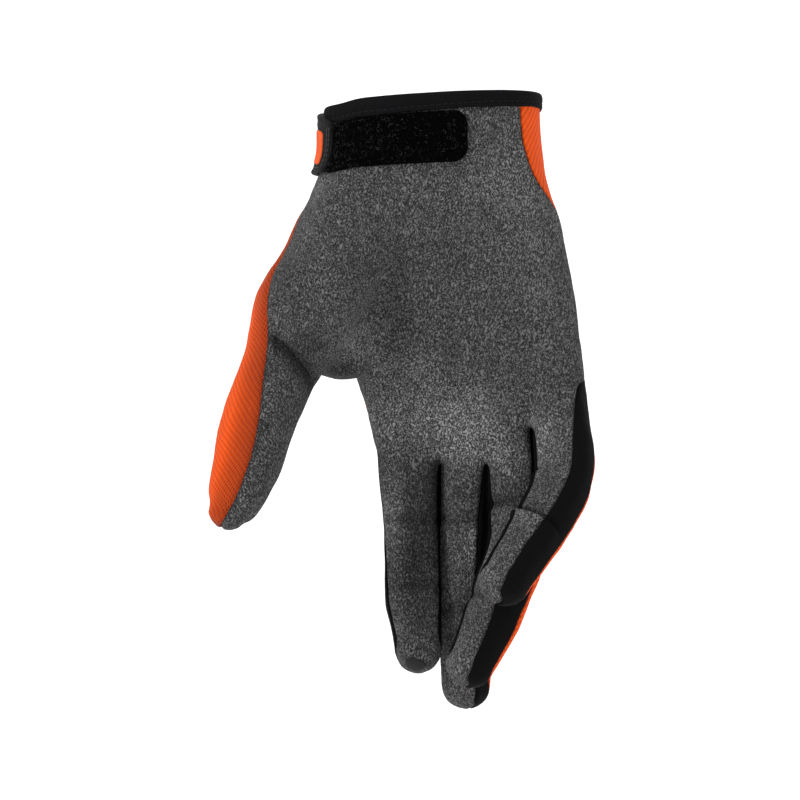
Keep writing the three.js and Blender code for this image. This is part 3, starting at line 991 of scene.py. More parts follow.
        side = np.stack([places[name].angle > 0 for name in FINGERS], 1)[own]
        skin.fields["strip"] = (closest * 2 + side).astype(float)
        skin.fields["finger"] = closest.astype(float)
        between = np.full(len(skin.points), FAR)
        for first, second, crotch, _ in self.crotches:
            gap = np.maximum(np.maximum(places[first].distance, places[second].distance) - 0.7, 0)
            between = np.minimum(between, gap + 3 * np.maximum(skin.points[:, 2] - crotch, 0))
        skin.fields["between"] = between
        skin.fields["back"] -= self.tuck * np.exp(-between / self.tuck_reach)
        below = np.stack([self.below_knuckle(name, places[name]) for name in FINGERS], 1)
        skin.fields["knuckle"] = below[own]

    def below_knuckle(self, name: str, place: Placed) -> Array:
        """How far points lie below a finger's knuckle seam, up to 3 mm.

        Args:
            name: The finger.
            place: The points' places in its tube.

        Returns:
            The distances.
        """
        tube = self.tubes[name]
        start = np.interp(self.knuckle_rows[name], tube.row, tube.length)
        return np.clip(place.along - start, -3.0, 3.0)

    def patch_field(self, place: Placed) -> Array:
        """How far points lie inside the touch patch on the index fingertip.

        Args:
            place: The points' places in the index tube.

        Returns:
            Millimetres inside the patch, which is an oval near the end.
        """
        run = place.along - self.tubes["index"].length[-1]
        sideways = np.radians(place.angle) * place.radius - self.patch_place[0]
        lengthways = run - self.patch_place[1] - self.patch_slant * sideways
        inside = 1 - np.hypot(sideways / self.patch_half[0], lengthways / self.patch_half[1])
        return self.patch_grade * inside


@dataclass(frozen=True)
class Wrinkle:
    """A wrinkle that drops sharply on its upper side and rises again slowly.

    Attributes:
        depth: How deep it drops.
        sharp: Length over which it drops.
        slow: Length over which it rises again.
        place: How far below the crease it lies.
        slant: How much higher it lies for each millimetre away from the thumb.
    """

    depth: float
    sharp: float
    slow: float
    place: float = 0.0
    slant: float = 0.0

    def drop(self, crease: Array, sideways: Array) -> Array:
        """How far it presses the cloth in at places across the crease and away from the thumb."""
        run = crease - self.place + self.slant * sideways
        return self.depth * np.where(run > 0, np.exp(-run / self.slow), np.exp(run / self.sharp))


@dataclass
class Panels:
    """The cloth panels, cut from the form's surface along their seams.

    Attributes:
        form: The form that they lie on.
        wall: Thickness of the cloth with its backing.
        groove: How deep a seam draws the cloth in.
        groove_width: Half the width of that groove.
        roll: Height of the cloth's roll beside a seam.
        roll_place: Distance of the roll from the seam.
        taut: How far below the mouth the cloth is still drawn taut by the binding.
        undulation: Height, wavelength and seed of the cloth's soft waves.
        crease: The deep crease at the root of the thumb.
        wrinkle: The lighter wrinkle below it.
        mound: Height, place and half width of the mound above the crease.
        hollow: Place, half width, half height and depth of the hollow of the palm.
        painted_light_patches: Place, half width, half height and change of tone of each patch of painted
            light on the palm side; a negative change paints shade.
        contact_shade: How much painted shade darkens each finger towards the next finger.
        index_reach: How far from the contact the painted shade reaches on the index.
        contact_reach: How far from it the painted shade reaches on the other fingers.
        crease_shade: How much painted shade darkens the crease, where, and half the width of that.
        fold_shade: How much painted shade darkens folds and painted light lightens their lips.
        thumb_seam_shade: The thumb weave's tone under painted shade at its seam with the palm, what it gains
            away from the seam, and how far away.
        strips: The node of each finger's two sides, from the thumb's side on.
    """

    form: HandForm
    wall: float = 1.3
    groove: float = 0.55
    groove_width: float = 0.75
    roll: float = 0.18
    roll_place: float = 1.9
    taut: float = 30.0
    undulation: tuple[tuple[float, float, int], ...] = ((0.34, 26.0, 3), (0.16, 11.0, 5))
    crease: Wrinkle = Wrinkle(3.0, 1.2, 4.0)
    wrinkle: Wrinkle = Wrinkle(0.8, 0.8, 2.2, 3.0, 0.03)
    mound: tuple[float, float, float] = (1.1, -3.2, 2.6)
    hollow: tuple[float, float, float, float, float] = (13.0, -62.0, 15.0, 30.0, 2.6)
    painted_light_patches: tuple[tuple[float, float, float, float, float], ...] = (
        (-38.0, -53.0, 10.0, 22.0, 0.08),
        (40.0, -60.0, 7.0, 26.0, 0.3),
        (27.0, -30.0, 15.0, 16.0, 0.4),
        (-44.5, -32.0, 4.0, 5.0, 0.45),
        (-57.5, -86.0, 7.0, 4.0, 0.4),
        (-46.0, -93.0, 5.0, 5.0, -0.25),
        (-34.0, -102.0, 7.0, 3.5, -0.6),
        (-27.0, -93.0, 10.0, 8.0, 0.7),
        (-12.0, -104.0, 15.0, 10.0, 0.7),
        (-20.0, -121.0, 8.0, 10.0, 1.0),
        (2.0, -121.0, 24.0, 11.0, 1.4),
        (20.0, -134.0, 17.0, 8.0, 1.2),
        (38.0, -127.0, 8.0, 9.0, 0.8),
        (-16.5, -156.0, 4.0, 20.0, 1.5),
        (-7.0, -180.0, 7.0, 26.0, -0.45),
        (4.0, -178.0, 5.0, 38.0, 0.8),
        (15.0, -172.0, 6.0, 8.0, 1.0),
    )
    contact_shade: tuple[float, float, float, float] = (0.88, 0.2, 0.6, 0.6)
    index_reach: float = 8.0
    contact_reach: float = 3.5
    crease_shade: tuple[float, float, float] = (0.76, 1.8, 3.0)
    fold_shade: float = 0.52
    thumb_seam_shade: tuple[float, float, float] = (0.44, 0.5, 10.0)
    strips: tuple[str, ...] = (
        "index_side_strip",
        "fourchette_index_middle",
        "fourchette_index_middle",
        "fourchette_middle_ring",
        "fourchette_middle_ring",
        "fourchette_ring_pinky",
        "fourchette_ring_pinky",
        "pinky_side_strip",
    )

    def __post_init__(self) -> None:
        """Make the whole skin and cut it along its seams."""
        skin = self.form.surface()
        self.form.dress(skin)
        LOG.info("form: %d points, %d triangles", len(skin.points), len(skin.triangles))
        skin.fields["mouth"] -= self.form.panel_top
        for name in ("mouth", "palm", "back", "thumb", "crease", "knuckle", "patch"):
            skin.split(name)
        self.skin = skin.part(skin.middle("mouth") > 0)
        self.shape()
        self.label = self.labels()

    def shape(self) -> None:
        """Press in the folds and the seams, let the cloth undulate, and work out its painted light and shade.
        """
        skin = self.skin
        points, fields = skin.points, skin.fields
        normals = skin.normals()
        seam = np.minimum(np.abs(fields["palm"]), np.abs(fields["back"]))
        loose = np.clip(fields["mouth"] / self.taut, 0, 1)
        height = fields["fold"].copy()
        height += loose * sum(tall * waves(points, length, seed) for tall, length, seed in self.undulation)
        height -= self.groove * bump(seam, self.groove_width)
        height += self.roll * bump(seam - self.roll_place, 1.0)
        thumb_side = np.clip(fields["thumb"] / 2, 0, 1)
        crease = fields["crease"]
        front = np.clip(fields["palm"] / 3, 0, 1) * np.clip(0.15 - 1.4 * normals[:, 1], 0, 1)
        tall, place, half = self.mound
        height -= self.crease.drop(crease, points[:, 0]) * thumb_side * front
        height += tall * bump(crease - place, half) * thumb_side * front
        height -= self.wrinkle.drop(crease, points[:, 0]) * thumb_side * front
        x, z, wide, high, deep = self.hollow
        hollow = np.hypot((points[:, 0] - x) / wide, (points[:, 2] - z) / high)
        height -= deep * np.exp(-(hollow**2)) * np.clip(fields["palm"] / 12, 0, 1)
        skin.points = points + normals * height[:, None]
        # The seam field also takes the gap between fingers, so that the darkening beside seams paints shade
        # where fingers nearly touch.
        fields["seam"] = np.minimum(seam, fields["between"])
        # Painted light and shade, kept as a factor of the cloth's tone.
        fields["painted_shading"] = self.paint_shading(points, thumb_side, crease)

    def paint_shading(self, points: Array, thumb_side: Array, crease: Array) -> Array:
        """Painted light and shade: painted light on the mounds, painted shade in folds, the crease, between
        fingers and beside the thumb's seam.

        Args:
            points: The skin's points.
            thumb_side: How much each belongs to the thumb.
            crease: Their places across the thumb's crease.

        Returns:
            Factors of the cloth's tone that paint its light and shade.
        """
        fields = self.skin.fields
        painted_shading = np.ones(len(points))
        front = np.clip(fields["palm"] / 2, 0, 1)
        # Painted light on the palm side's mounds, and painted shade where a patch's change is negative.
        for x, z, wide, tall, change in self.painted_light_patches:
            place = np.hypot((points[:, 0] - x) / wide, (points[:, 2] - z) / tall)
            painted_shading += change * np.exp(-(place**2)) * front
        # Painted shade on each finger towards the next one, widest on the index.
        between = fields["between"]
        finger = np.floor(fields["finger"] + 0.5).astype(int)
        depth = np.array(self.contact_shade)[finger]
        fall = np.where(finger == 0, (between / self.index_reach) ** 2, between / self.contact_reach)
        painted_shading *= 1 - depth * np.exp(-fall)
        # Painted shade in the thumb's crease.
        shade, place, half = self.crease_shade
        painted_shading *= 1 - shade * bump(crease - place, half) * thumb_side * front
        # Painted shade in the folds and painted light on their lips.
        painted_shading *= 1 + self.fold_shade * np.clip(fields["fold"], -1.5, 0.8) * front
        # Painted shade on the thumb's orange weave, deepest at its seam with the palm.
        tone, gain, reach = self.thumb_seam_shade
        away = np.clip(-fields["palm"] / reach, 0, 1)
        return painted_shading * np.where((fields["palm"] < 0) & (thumb_side > 0.5), tone + gain * away**1.5, 1.0)

    def labels(self) -> dict[str, Array]:
        """Which triangles belong to each panel."""
        skin = self.skin
        palm = skin.middle("palm") > 0
        back = ~palm & (skin.middle("back") > 0)
        thumb = skin.middle("thumb") > 0
        below = skin.middle("crease") > 0
        finger = np.median(skin.fields["finger"][skin.triangles], axis=1).round().astype(int)
        lower = back & ~thumb & (skin.middle("knuckle") > 0)
        label = {
            "palm_panel": palm & ~(thumb & below),
            "thumb_palm_panel": palm & thumb & below,
            "back_panel": back & ~thumb & ~lower,
            "thumb_back_panel": back & thumb,
        }
        for number, name in enumerate(FINGERS):
            label[f"{name}_back_panel"] = lower & (finger == number)
        strip = np.median(skin.fields["strip"][skin.triangles], axis=1).round().astype(int)
        for number, name in enumerate(self.strips):
            wanted = ~palm & ~back & (strip == number)
            label[name] = label.get(name, False) | wanted
        return label

    def panel(self, name: str) -> Skin:
        """One panel's part of the skin."""
        return self.skin.part(self.label[name])


def deselect() -> None:
    """Clear the selection."""
    for chosen in list(bpy.context.selected_objects):
        chosen.select_set(False)


def activate(piece: Object) -> Object:
    """Select one object alone and make it active.

    Args:
        piece: The object.

    Returns:
        The same object.
    """
    deselect()
    piece.select_set(True)
    bpy.context.view_layer.objects.active = piece
    return piece


def finish_with(piece: Object, kind: str, **settings: object) -> Object:
    """Add a modifier and apply it.

    Args:
        piece: The object.
        kind: The modifier's type.
        settings: Its settings.

    Returns:
        The same object.
    """
    activate(piece)
    modifier = piece.modifiers.new(kind.lower(), kind)
    for key, value in settings.items():
        setattr(modifier, key, value)
    bpy.ops.object.modifier_apply(modifier=modifier.name)
    return piece


def mesh_piece(name: str, points: Array, faces: Array, weave: Array | None = None) -> Object:
    """Make an object of points and faces that all have the same number of corners.

    Args:
        name: The object's name.
        points: Rows of x, y, z in millimetres.
        faces: Rows of point numbers.
        weave: Places in the weave's own map at the points, in metres.

    Returns:
        The object, smooth shaded.
    """
    faces = np.asarray(faces)
    mesh = bpy.data.meshes.new(name)
    mesh.vertices.add(len(points))
    mesh.vertices.foreach_set("co", (np.asarray(points, float) * MM).astype(np.float32).ravel())
    mesh.loops.add(faces.size)
    mesh.loops.foreach_set("vertex_index", faces.astype(np.int32).ravel())
    mesh.polygons.add(len(faces))
    mesh.polygons.foreach_set("loop_start", np.arange(0, faces.size, faces.shape[1], dtype=np.int32))
    mesh.update(calc_edges=True)
    mesh.polygons.foreach_set("use_smooth", np.ones(len(faces), bool))
    if weave is not None:
        layer = mesh.uv_layers.new(name="weave")
        layer.data.foreach_set("uv", weave[faces.ravel()].astype(np.float32).ravel())
    mesh.validate()
    mesh.update()
    piece = bpy.data.objects.new(name, mesh)
    bpy.context.scene.collection.objects.link(piece)
    return piece


def hand_in(piece: Object, finish: Material, replaced: str | None = None) -> None:
    """Give a piece its material and its place in the model.

    Args:
        piece: The piece.
        finish: Its material.
        replaced: The CAD node that it stands for.
    """
    piece.data.materials.clear()
    piece.data.materials.append(finish)
    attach(piece, ROOT)
    if replaced:
        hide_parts(replaced)
    LOG.info("%s: %d faces", piece.name, len(piece.data.polygons))


@dataclass
class Ground:
    """The cloth's outside, on which trimmings are laid.

    Attributes:
        form: The form under the cloth.
        skin: The cloth's outside.
    """

    form: HandForm
    skin: Skin

    def __post_init__(self) -> None:
        """Make the cloth's search tree."""
        self.tree = search_tree(self.skin)

    def lay(self, depth: float, angle: float, lift: float = 0.0) -> tuple[Array, Array]:
        """Put a point of a trimming on the cuff's cloth.

        Args:
            depth: How far below the mouth.
            angle: Degrees round the cuff from the middle of the palm side.
            lift: Height over the cloth.

        Returns:
            The point and its outward direction.
        """
        point, out = self.form.cuff(depth, angle)
        hit = self.tree.ray_cast(Vector(point + 9 * out), Vector(-out), 14.0)[0]
        ground = point if hit is None else np.array(hit)
        return ground + out * lift, out


@dataclass(frozen=True)
class CuffPlate:
    """A flat piece with rounded corners that is laid round the cuff.

    Attributes:
        top: Its upper edge's depth below the mouth.
        bottom: Its lower edge's depth.
        palm_end: Angle of the end on the palm.
        back_end: Angle of the other end.
        palm_corner: Radius of the corners on the palm.
        back_corner: Radius of the other corners.
        base: Height of its underside over the cloth.
        thickness: Its thickness.
        edge: Radius of its rounded rim.
        over: How much higher it lies where it rides over the binding.
        over_reach: Depth below the mouth down to which it rides on the binding.
        climb: How far its upper edge climbs towards the thumb's side.
        foot: The lower edge's share of that climb.
        climb_reach: How far along it the climb is highest.
        settle: Length over which it comes part of the way down again.
        over_slope: Depth over which it comes down from the binding.
        columns: How many places along it are worked out.
        rows: How many across it.
    """

    top: float
    bottom: float
    palm_end: float
    back_end: float
    palm_corner: float
    back_corner: float
    base: float
    thickness: float
    edge: float = 0.7
    over: float = 0.0
    over_reach: float = 7.6
    climb: float = 0.0
    foot: float = 1.0
    climb_reach: float = 18.0
    settle: float = 22.0
    over_slope: float = 1.8
    columns: int = 70
    rows: int = 28

    def spread(self, count: int, length: float, margin: float) -> Array:
        """Places along a length, closer together near both of its ends.

        Args:
            count: How many places.
            length: The length.
            margin: How far the closer ones reach.

        Returns:
            The places, from nothing to the length.
        """
        ends = margin * np.array([0, 0.08, 0.2, 0.38, 0.6, 0.85, 1.15])
        inner = np.linspace(ends[-1], length - ends[-1], count - 2 * len(ends) + 2)[1:-1]
        return np.concatenate([ends, inner, length - ends[::-1]])

    def build(
        self, name: str, ground: Ground, relief: Callable[[Array, Array, float], Array] | None = None
    ) -> Object:
        """Make the piece.

        Args:
            name: Its name.
            ground: The cloth that it lies on.
            relief: Gives extra height from the places along, across and the length.

        Returns:
            The piece.
        """
        middle = (self.top + self.bottom) / 2
        angles = np.linspace(self.palm_end, self.back_end, 90)
        line = np.array([ground.form.cuff(middle, float(angle))[0] for angle in angles])
        run = run_along(line)
        length, breadth = run[-1], self.bottom - self.top
        along = self.spread(self.columns, length, max(self.palm_corner, self.back_corner, 1.0))
        places = np.zeros((len(along), self.rows, 2))
        for column, s in enumerate(along):
            near = [(s, self.palm_corner), (length - s, self.back_corner)]
            inset = max(r - math.sqrt(max(r * r - max(r - d, 0) ** 2, 0.0)) for d, r in near)
            across = inset + self.spread(self.rows, breadth - 2 * inset, self.edge)
            places[column, :, 0] = s
            places[column, :, 1] = across
        rim = self.inside(places[..., 0], places[..., 1], length, breadth)
        share = np.clip(1 - rim / self.edge, 0, 1)
        height = self.base + self.thickness * (0.45 + 0.55 * np.sqrt(1 - share**2))
        if relief is not None:
            height = height + relief(places[..., 0], places[..., 1], length)
        upper, lower = np.zeros((*height.shape, 3)), np.zeros((*height.shape, 3))
        for index in np.ndindex(height.shape):
            s, across = places[index]
            depth = self.top + across - self.climbed(s, across / breadth)
            point, out = ground.lay(depth, float(np.interp(s, run, angles)))
            ride = self.ride(depth)
            upper[index] = point + out * (height[index] + ride)
            lower[index] = point + out * (self.base + ride)
        return mesh_piece(name, *closed_sheet(upper, lower))

    def climbed(self, s: float, share: float) -> float:
        """How far a place of the piece has climbed.

        Args:
            s: Its place along the piece.
            share: Its place across the piece, from 0 at the upper edge to 1.

        Returns:
            The climb.
        """
        if s < self.climb_reach:
            part = math.sin(math.pi / 2 * s / self.climb_reach)
        else:
            part = 0.7 + 0.3 * math.cos(math.pi * min((s - self.climb_reach) / self.settle, 1.0))
        return self.climb * part * (1 + (self.foot - 1) * share)

    def ride(self, depth: float) -> float:
        """How much higher the piece lies at a depth, on the binding."""
        part = min(max((self.over_reach - depth) / self.over_slope, 0.0), 1.0)
        return self.over * part * part * (3 - 2 * part)

    def inside(self, s: Array, across: Array, length: float, breadth: float) -> Array:
        """How far places lie inside the rounded outline.

        Args:
            s: Places along it.
            across: Places across it.
            length: Its length.
            breadth: Its breadth.

        Returns:
            The distances to the outline.
        """
        v = np.minimum(across, breadth - across)
        distances = np.minimum(v, np.minimum(s, length - s))
        for run, radius in ((s, self.palm_corner), (length - s, self.back_corner)):
            corner = (run < radius) & (v < radius)
            distances = np.where(corner, radius - np.hypot(radius - run, radius - v), distances)
        return np.maximum(distances, 0)


def closed_sheet(upper: Array, lower: Array) -> tuple[Array, Array]:
    """Close two grids of points into one body.

    Args:
        upper: The outer grid, as columns by rows by three.
        lower: The inner grid.

    Returns:
        Points and four-cornered faces.
    """
    columns, rows = upper.shape[:2]
    number = np.arange(columns * rows).reshape(columns, rows)
    size = columns * rows

    def faces(a: Array, b: Array, c: Array, d: Array) -> Array:
        """Rows of four point numbers."""
        return np.stack([a.ravel(), b.ravel(), c.ravel(), d.ravel()], 1)

    top = faces(number[:-1, :-1], number[:-1, 1:], number[1:, 1:], number[1:, :-1])
    under = top[:, ::-1] + size
    rim = np.concatenate([number[0, :], number[1:, -1], number[-1, -2::-1], number[-2:0:-1, 0]])
    following = np.roll(rim, -1)
    side = faces(rim, rim + size, following + size, following)
    points = np.concatenate([upper.reshape(-1, 3), lower.reshape(-1, 3)])
    return points, np.concatenate([top, under, side])


def sweep(paths: Array, normals: Array, radii: Array, sides: int) -> tuple[Array, Array]:
    """Make many short round rods along paths.

    Args:
        paths: Rods by points along by x, y, z.
        normals: One sideways direction for each rod.
        radii: Radius at each point along.
        sides: Number of sides.

    Returns:
        Points and triangles.
    """
    count, steps = paths.shape[:2]
    along = unit(np.gradient(paths, axis=1))
    across = unit(np.cross(along, normals[:, None, :]))
    upward = np.cross(across, along)
    turn = 2 * math.pi * np.arange(sides) / sides
    circle = across[:, :, None] * np.cos(turn)[:, None] + upward[:, :, None] * np.sin(turn)[:, None]
    points = paths[:, :, None] + circle * np.broadcast_to(radii, (count, steps))[:, :, None, None]
    ring = np.arange(steps - 1)[:, None] * sides + np.arange(sides)
    following = np.arange(steps - 1)[:, None] * sides + (np.arange(sides) + 1) % sides
    one = np.stack([ring, following, ring + sides], -1).reshape(-1, 3)
    two = np.stack([following, following + sides, ring + sides], -1).reshape(-1, 3)
    start = [[0, k + 1, k] for k in range(1, sides - 1)]
    last = (steps - 1) * sides
    end = [[last, last + k, last + k + 1] for k in range(1, sides - 1)]
    faces = np.concatenate([one, two, start, end])[:, ::-1]
    whole = faces[None] + (np.arange(count) * steps * sides)[:, None, None]
    return points.reshape(-1, 3), whole.reshape(-1, 3)


@dataclass(frozen=True)
class Stitch:
    """A sewing thread's stitches.

    Attributes:
        length: Length of a stitch.
        pitch: From one stitch to the next.
        radius: Half the thread's thickness.
        sink: How deep its middle lies below the surface.
    """

    length: float = 2.1
    pitch: float = 2.7
    radius: float = 0.22
    sink: float = 0.02

    def rods(self, line: Array, normals: Array) -> tuple[Array, Array]:
        """Lay stitches along a line.

        Args:
            line: Points of the line.
            normals: Outward directions at them.

        Returns:
            Points and triangles.
        """
        run = run_along(line)
        starts = np.arange(0.3, run[-1] - self.length, self.pitch)
        share = np.array([0.0, 0.12, 0.35, 0.65, 0.88, 1.0])
        dip = np.array([-1.5, -0.1, 0.4, 0.4, -0.1, -1.5]) * self.radius - self.sink
        at = starts[:, None] + share * self.length
        path = np.stack([np.interp(at, run, line[:, k]) for k in range(3)], -1)
        out = unit(np.stack([np.interp(at, run, normals[:, k]) for k in range(3)], -1))
        path = path + out * dip[None, :, None]
        return sweep(path, out[:, 2], self.radius * np.array([0.5, 0.95, 1.0, 1.0, 0.95, 0.5]), 6)

    def through(self, laid: Sequence[tuple[Array, Array]]) -> tuple[Array, Array]:
        """Lay stitches through points that come with their outward directions."""
        return self.rods(*(np.array(column) for column in zip(*laid)))


def joined(parts: Sequence[tuple[Array, Array]]) -> tuple[Array, Array]:
    """Join several lots of points and faces into one.

    Args:
        parts: Points and faces of each lot.

    Returns:
        All points and all faces.
    """
    offsets = np.cumsum([0] + [len(points) for points, _ in parts[:-1]])
    faces = [faces + offset for (_, faces), offset in zip(parts, offsets)]
    return np.concatenate([points for points, _ in parts]), np.concatenate(faces)


@dataclass
class CuffBinding:
    """The folded tape round the cuff's mouth.

    Attributes:
        heights: Place from the thumb's side to the other side, and the tape's height there.
        stand: How far the tape stands out from the cloth.
        inside: How far its inner fold lies behind the cloth's outside.
        stitch_rise: How far over its lower edge the stitches run.
        ripples: How many soft ripples the stitches draw round the cuff.
        count: How many places round the cuff are worked out.
    """

    heights: tuple[tuple[float, float], ...] = (
        (-43.0, 6.6),
        (-34.0, 7.2),
        (-20.0, 7.4),
        (0.0, 6.9),
        (20.0, 6.4),
        (41.0, 6.2),
    )
    stand: float = 1.15
    inside: float = 2.5
    stitch_rise: float = 1.9
    ripples: int = 58
    count: int = 420

    def build(self, ground: Ground, finish: Material, thread: Material) -> None:
        """Make the tape and its row of stitches.

        Args:
            ground: The cloth that it is sewn on.
            finish: The tape's material.
            thread: The thread's material.
        """
        angles = np.linspace(-180, 180, self.count, endpoint=False)
        rows, seam, outward = [], [], []
        for number, angle in enumerate(angles):
            edge, out = ground.form.cuff(ground.form.panel_top, float(angle))
            height = float(eased(edge[0], self.heights))
            ripple = 0.10 * math.sin(number * 2 * math.pi * self.ripples / self.count)
            ripple += 0.05 * math.sin(number * 0.31 + 1.0)
            lower = height + 0.12 * math.sin(number * 0.083) + 0.08 * math.sin(number * 0.21 + 2.0)
            groove = height - self.stitch_rise
            # How far each corner of the section stands out, and its depth below the mouth.
            profile = [
                (0.05, lower - 0.05),
                (0.55, lower),
                (0.92 + ripple, lower - 0.3),
                (1.05 + ripple, lower - 0.9),
                (0.95 + ripple * 0.4, groove + 0.45),
                (0.72, groove),
                (0.98 + ripple * 0.4, groove - 0.45),
                (self.stand + ripple * 0.8, groove - 1.3),
                (self.stand + ripple * 0.5, groove - 2.4),
                (self.stand - 0.02, 1.4),
                (0.85, 0.6),
                (0.4, 0.15),
                (-0.35, 0.0),
                (-1.1, 0.1),
                (-1.8, 0.5),
                (-self.inside, 1.3),
                (-self.inside - 0.15, 3.4),
                (-self.inside, lower - 0.4),
                (-self.inside + 0.5, lower),
                (-1.6, lower - 0.1),
                (-1.5, 2.4),
                (-0.7, 1.8),
                (0.02, 2.4),
            ]
            rows.append([ground.form.cuff(depth, float(angle))[0] + out * stand for stand, depth in profile])
            seam.append(ground.form.cuff(groove, float(angle))[0] + out * 0.86)
            outward.append(out)
        grid = np.array(rows)
        size = grid.shape[1]
        number = np.arange(self.count * size).reshape(self.count, size)
        beyond = np.roll(number, -1, axis=0)
        following, corner = np.roll(number, -1, axis=1), np.roll(beyond, -1, axis=1)
        faces = np.stack([number.ravel(), following.ravel(), corner.ravel(), beyond.ravel()], 1)
        tape = mesh_piece("binding_tape", grid.reshape(-1, 3), faces)
        finish_with(tape, "SUBSURF", levels=1, render_levels=1)
        hand_in(tape, finish, "cuff_binding")
        line = np.array(seam + seam[:1])
        rods = Stitch(length=1.9, pitch=2.5, radius=0.2).rods(line, np.array(outward + outward[:1]))
        hand_in(mesh_piece("binding_stitches", *rods), thread)


@dataclass
class WristClosure:
    """The hook-and-loop closure: the tab, its plain plate and the loop pad on the wrist.

    Attributes:
        tab: The tab round the thumb's side.
        plate: The moulded plate on it.
        pad: The loop pad.
        fibres: How many fibres stand on the pad.
        fibre_steps: How many points each has.
        arc: Length along the tab for each degree round the cuff.
        pad_arc: The same along the pad.
    """

    tab: CuffPlate = CuffPlate(
        top=7.4, bottom=26.0, palm_end=-60.5, back_end=-168, palm_corner=1.2, back_corner=8, base=0.5,
        thickness=2.9, edge=0.8, over=0.2, climb=5.9, foot=0.1,
    )
    plate: CuffPlate = CuffPlate(
        top=10.2, bottom=22.9, palm_end=-68.5, back_end=-82, palm_corner=1.4, back_corner=1.4, base=3.1,
        thickness=0.9, edge=0.5, climb=2.6, climb_reach=12,
    )
    pad: CuffPlate = CuffPlate(
        top=7.3, bottom=26.4, palm_end=12.5, back_end=-60.5, palm_corner=5.2, back_corner=1.0, base=0.1,
        thickness=1.1, edge=0.8,
    )
    fibres: int = 3600
    fibre_steps: int = 7
    arc: float = 0.62
    pad_arc: float = 0.6

    def on_tab(self, ground: Ground, depth: float, angle: float) -> tuple[Array, Array]:
        """A point of the tab's outside, in its sewn channel, and its outward direction."""
        tab = self.tab
        return ground.lay(depth, angle, tab.base + tab.thickness - 0.3 + tab.ride(depth))

    def build(self, ground: Ground, finishes: "Finishes") -> None:
        """Make the closure's pieces.

        Args:
            ground: The cloth that they lie on.
            finishes: The materials.
        """
        tab = self.tab.build("tab_strap", ground, self.tab_relief)
        hand_in(tab, finishes.tab, "closure_tab")
        plate = self.plate.build("tab_plate", ground, self.plate_relief)
        hand_in(plate, finishes.plate, "tab_logo_plate")
        pad = self.pad.build("loop_base", ground, self.pad_relief)
        hand_in(pad, finishes.loop, "loop_pad")
        self.pile(ground, finishes)
        self.tab_stitches(ground, finishes.thread)

    def tab_relief(self, s: Array, across: Array, length: float) -> Array:
        """The tab's sewn channel along its rim and its slack."""
        rim = self.tab.inside(s, across, length, self.tab.bottom - self.tab.top)
        return -0.35 * bump(rim - 1.7, 0.45) + 0.12 * np.sin(s * 0.35) * np.sin(across * 0.25)

    def plate_relief(self, s: Array, across: Array, length: float) -> Array:
        """The plate's raised rim round its sunk middle."""
        rim = self.plate.inside(s, across, length, self.plate.bottom - self.plate.top)
        return -0.45 / (1 + np.exp(-(rim - 1.5) / 0.12))

    def pad_relief(self, s: Array, across: Array, length: float) -> Array:
        """The matted pile's uneven height and the sewn line inside its rim.

        Args:
            s: Places along the pad.
            across: Places across it.
            length: Its length.

        Returns:
            Extra heights.
        """
        rim = self.pad.inside(s, across, length, self.pad.bottom - self.pad.top)
        places = np.stack([s.ravel(), across.ravel(), np.zeros(s.size)], 1)
        uneven = 0.14 * waves(places, 2.6, 7) + 0.07 * waves(places, 1.2, 8)
        return uneven.reshape(s.shape) - 0.4 * bump(rim - 1.3, 0.35)

    def pile(self, ground: Ground, finishes: "Finishes") -> None:
        """Stand the pile's curled fibres on the pad.

        Args:
            ground: The cloth under the pad.
            finishes: The materials.
        """
        rng = np.random.default_rng(11)
        pad, steps = self.pad, self.fibre_steps
        breadth = pad.bottom - pad.top
        run = (pad.palm_end - pad.back_end) * self.pad_arc
        paths = np.zeros((self.fibres, steps, 3))
        normals = np.zeros((self.fibres, 3))
        shade = rng.uniform(0, 1, self.fibres) ** 14
        made = 0
        share = np.linspace(0, 1, steps)
        while made < self.fibres:
            s, across = rng.uniform(0.006, 0.994), rng.uniform(0.02, 0.98)
            rim = pad.inside(np.array(s * run), np.array(across * breadth), run, breadth)
            if rim < 0.15:
                continue
            angle = pad.palm_end + (pad.back_end - pad.palm_end) * s
            root, out = ground.lay(pad.top + across * breadth, angle, pad.base + 0.75 * pad.thickness)
            sideways = unit(np.cross(out, rng.normal(size=3)))
            other = np.cross(out, sideways)
            tall = rng.uniform(0.35, 1.35) * (0.6 + 0.4 * shade[made])
            wide = rng.uniform(0.2, 1.0)
            curl = share * (rng.uniform(0.6, 1.6) * math.pi)
            paths[made] = (
                root
                + out * (tall * np.sin(share * math.pi * 0.85))[:, None]
                + sideways * (wide * np.sin(curl))[:, None]
                + other * (wide * 0.6 * (1 - np.cos(curl)))[:, None]
            )
            normals[made] = unit(out + 0.3 * sideways)
            made += 1
        points, faces = sweep(paths, normals, 0.04 * np.array([1, 1.1, 1, 1, 0.9, 0.8, 0.5]), 3)
        pile = mesh_piece("loop_fibres", points, faces)
        add_values(pile, "shade", np.repeat(shade, steps * 3))
        hand_in(pile, finishes.fibre)

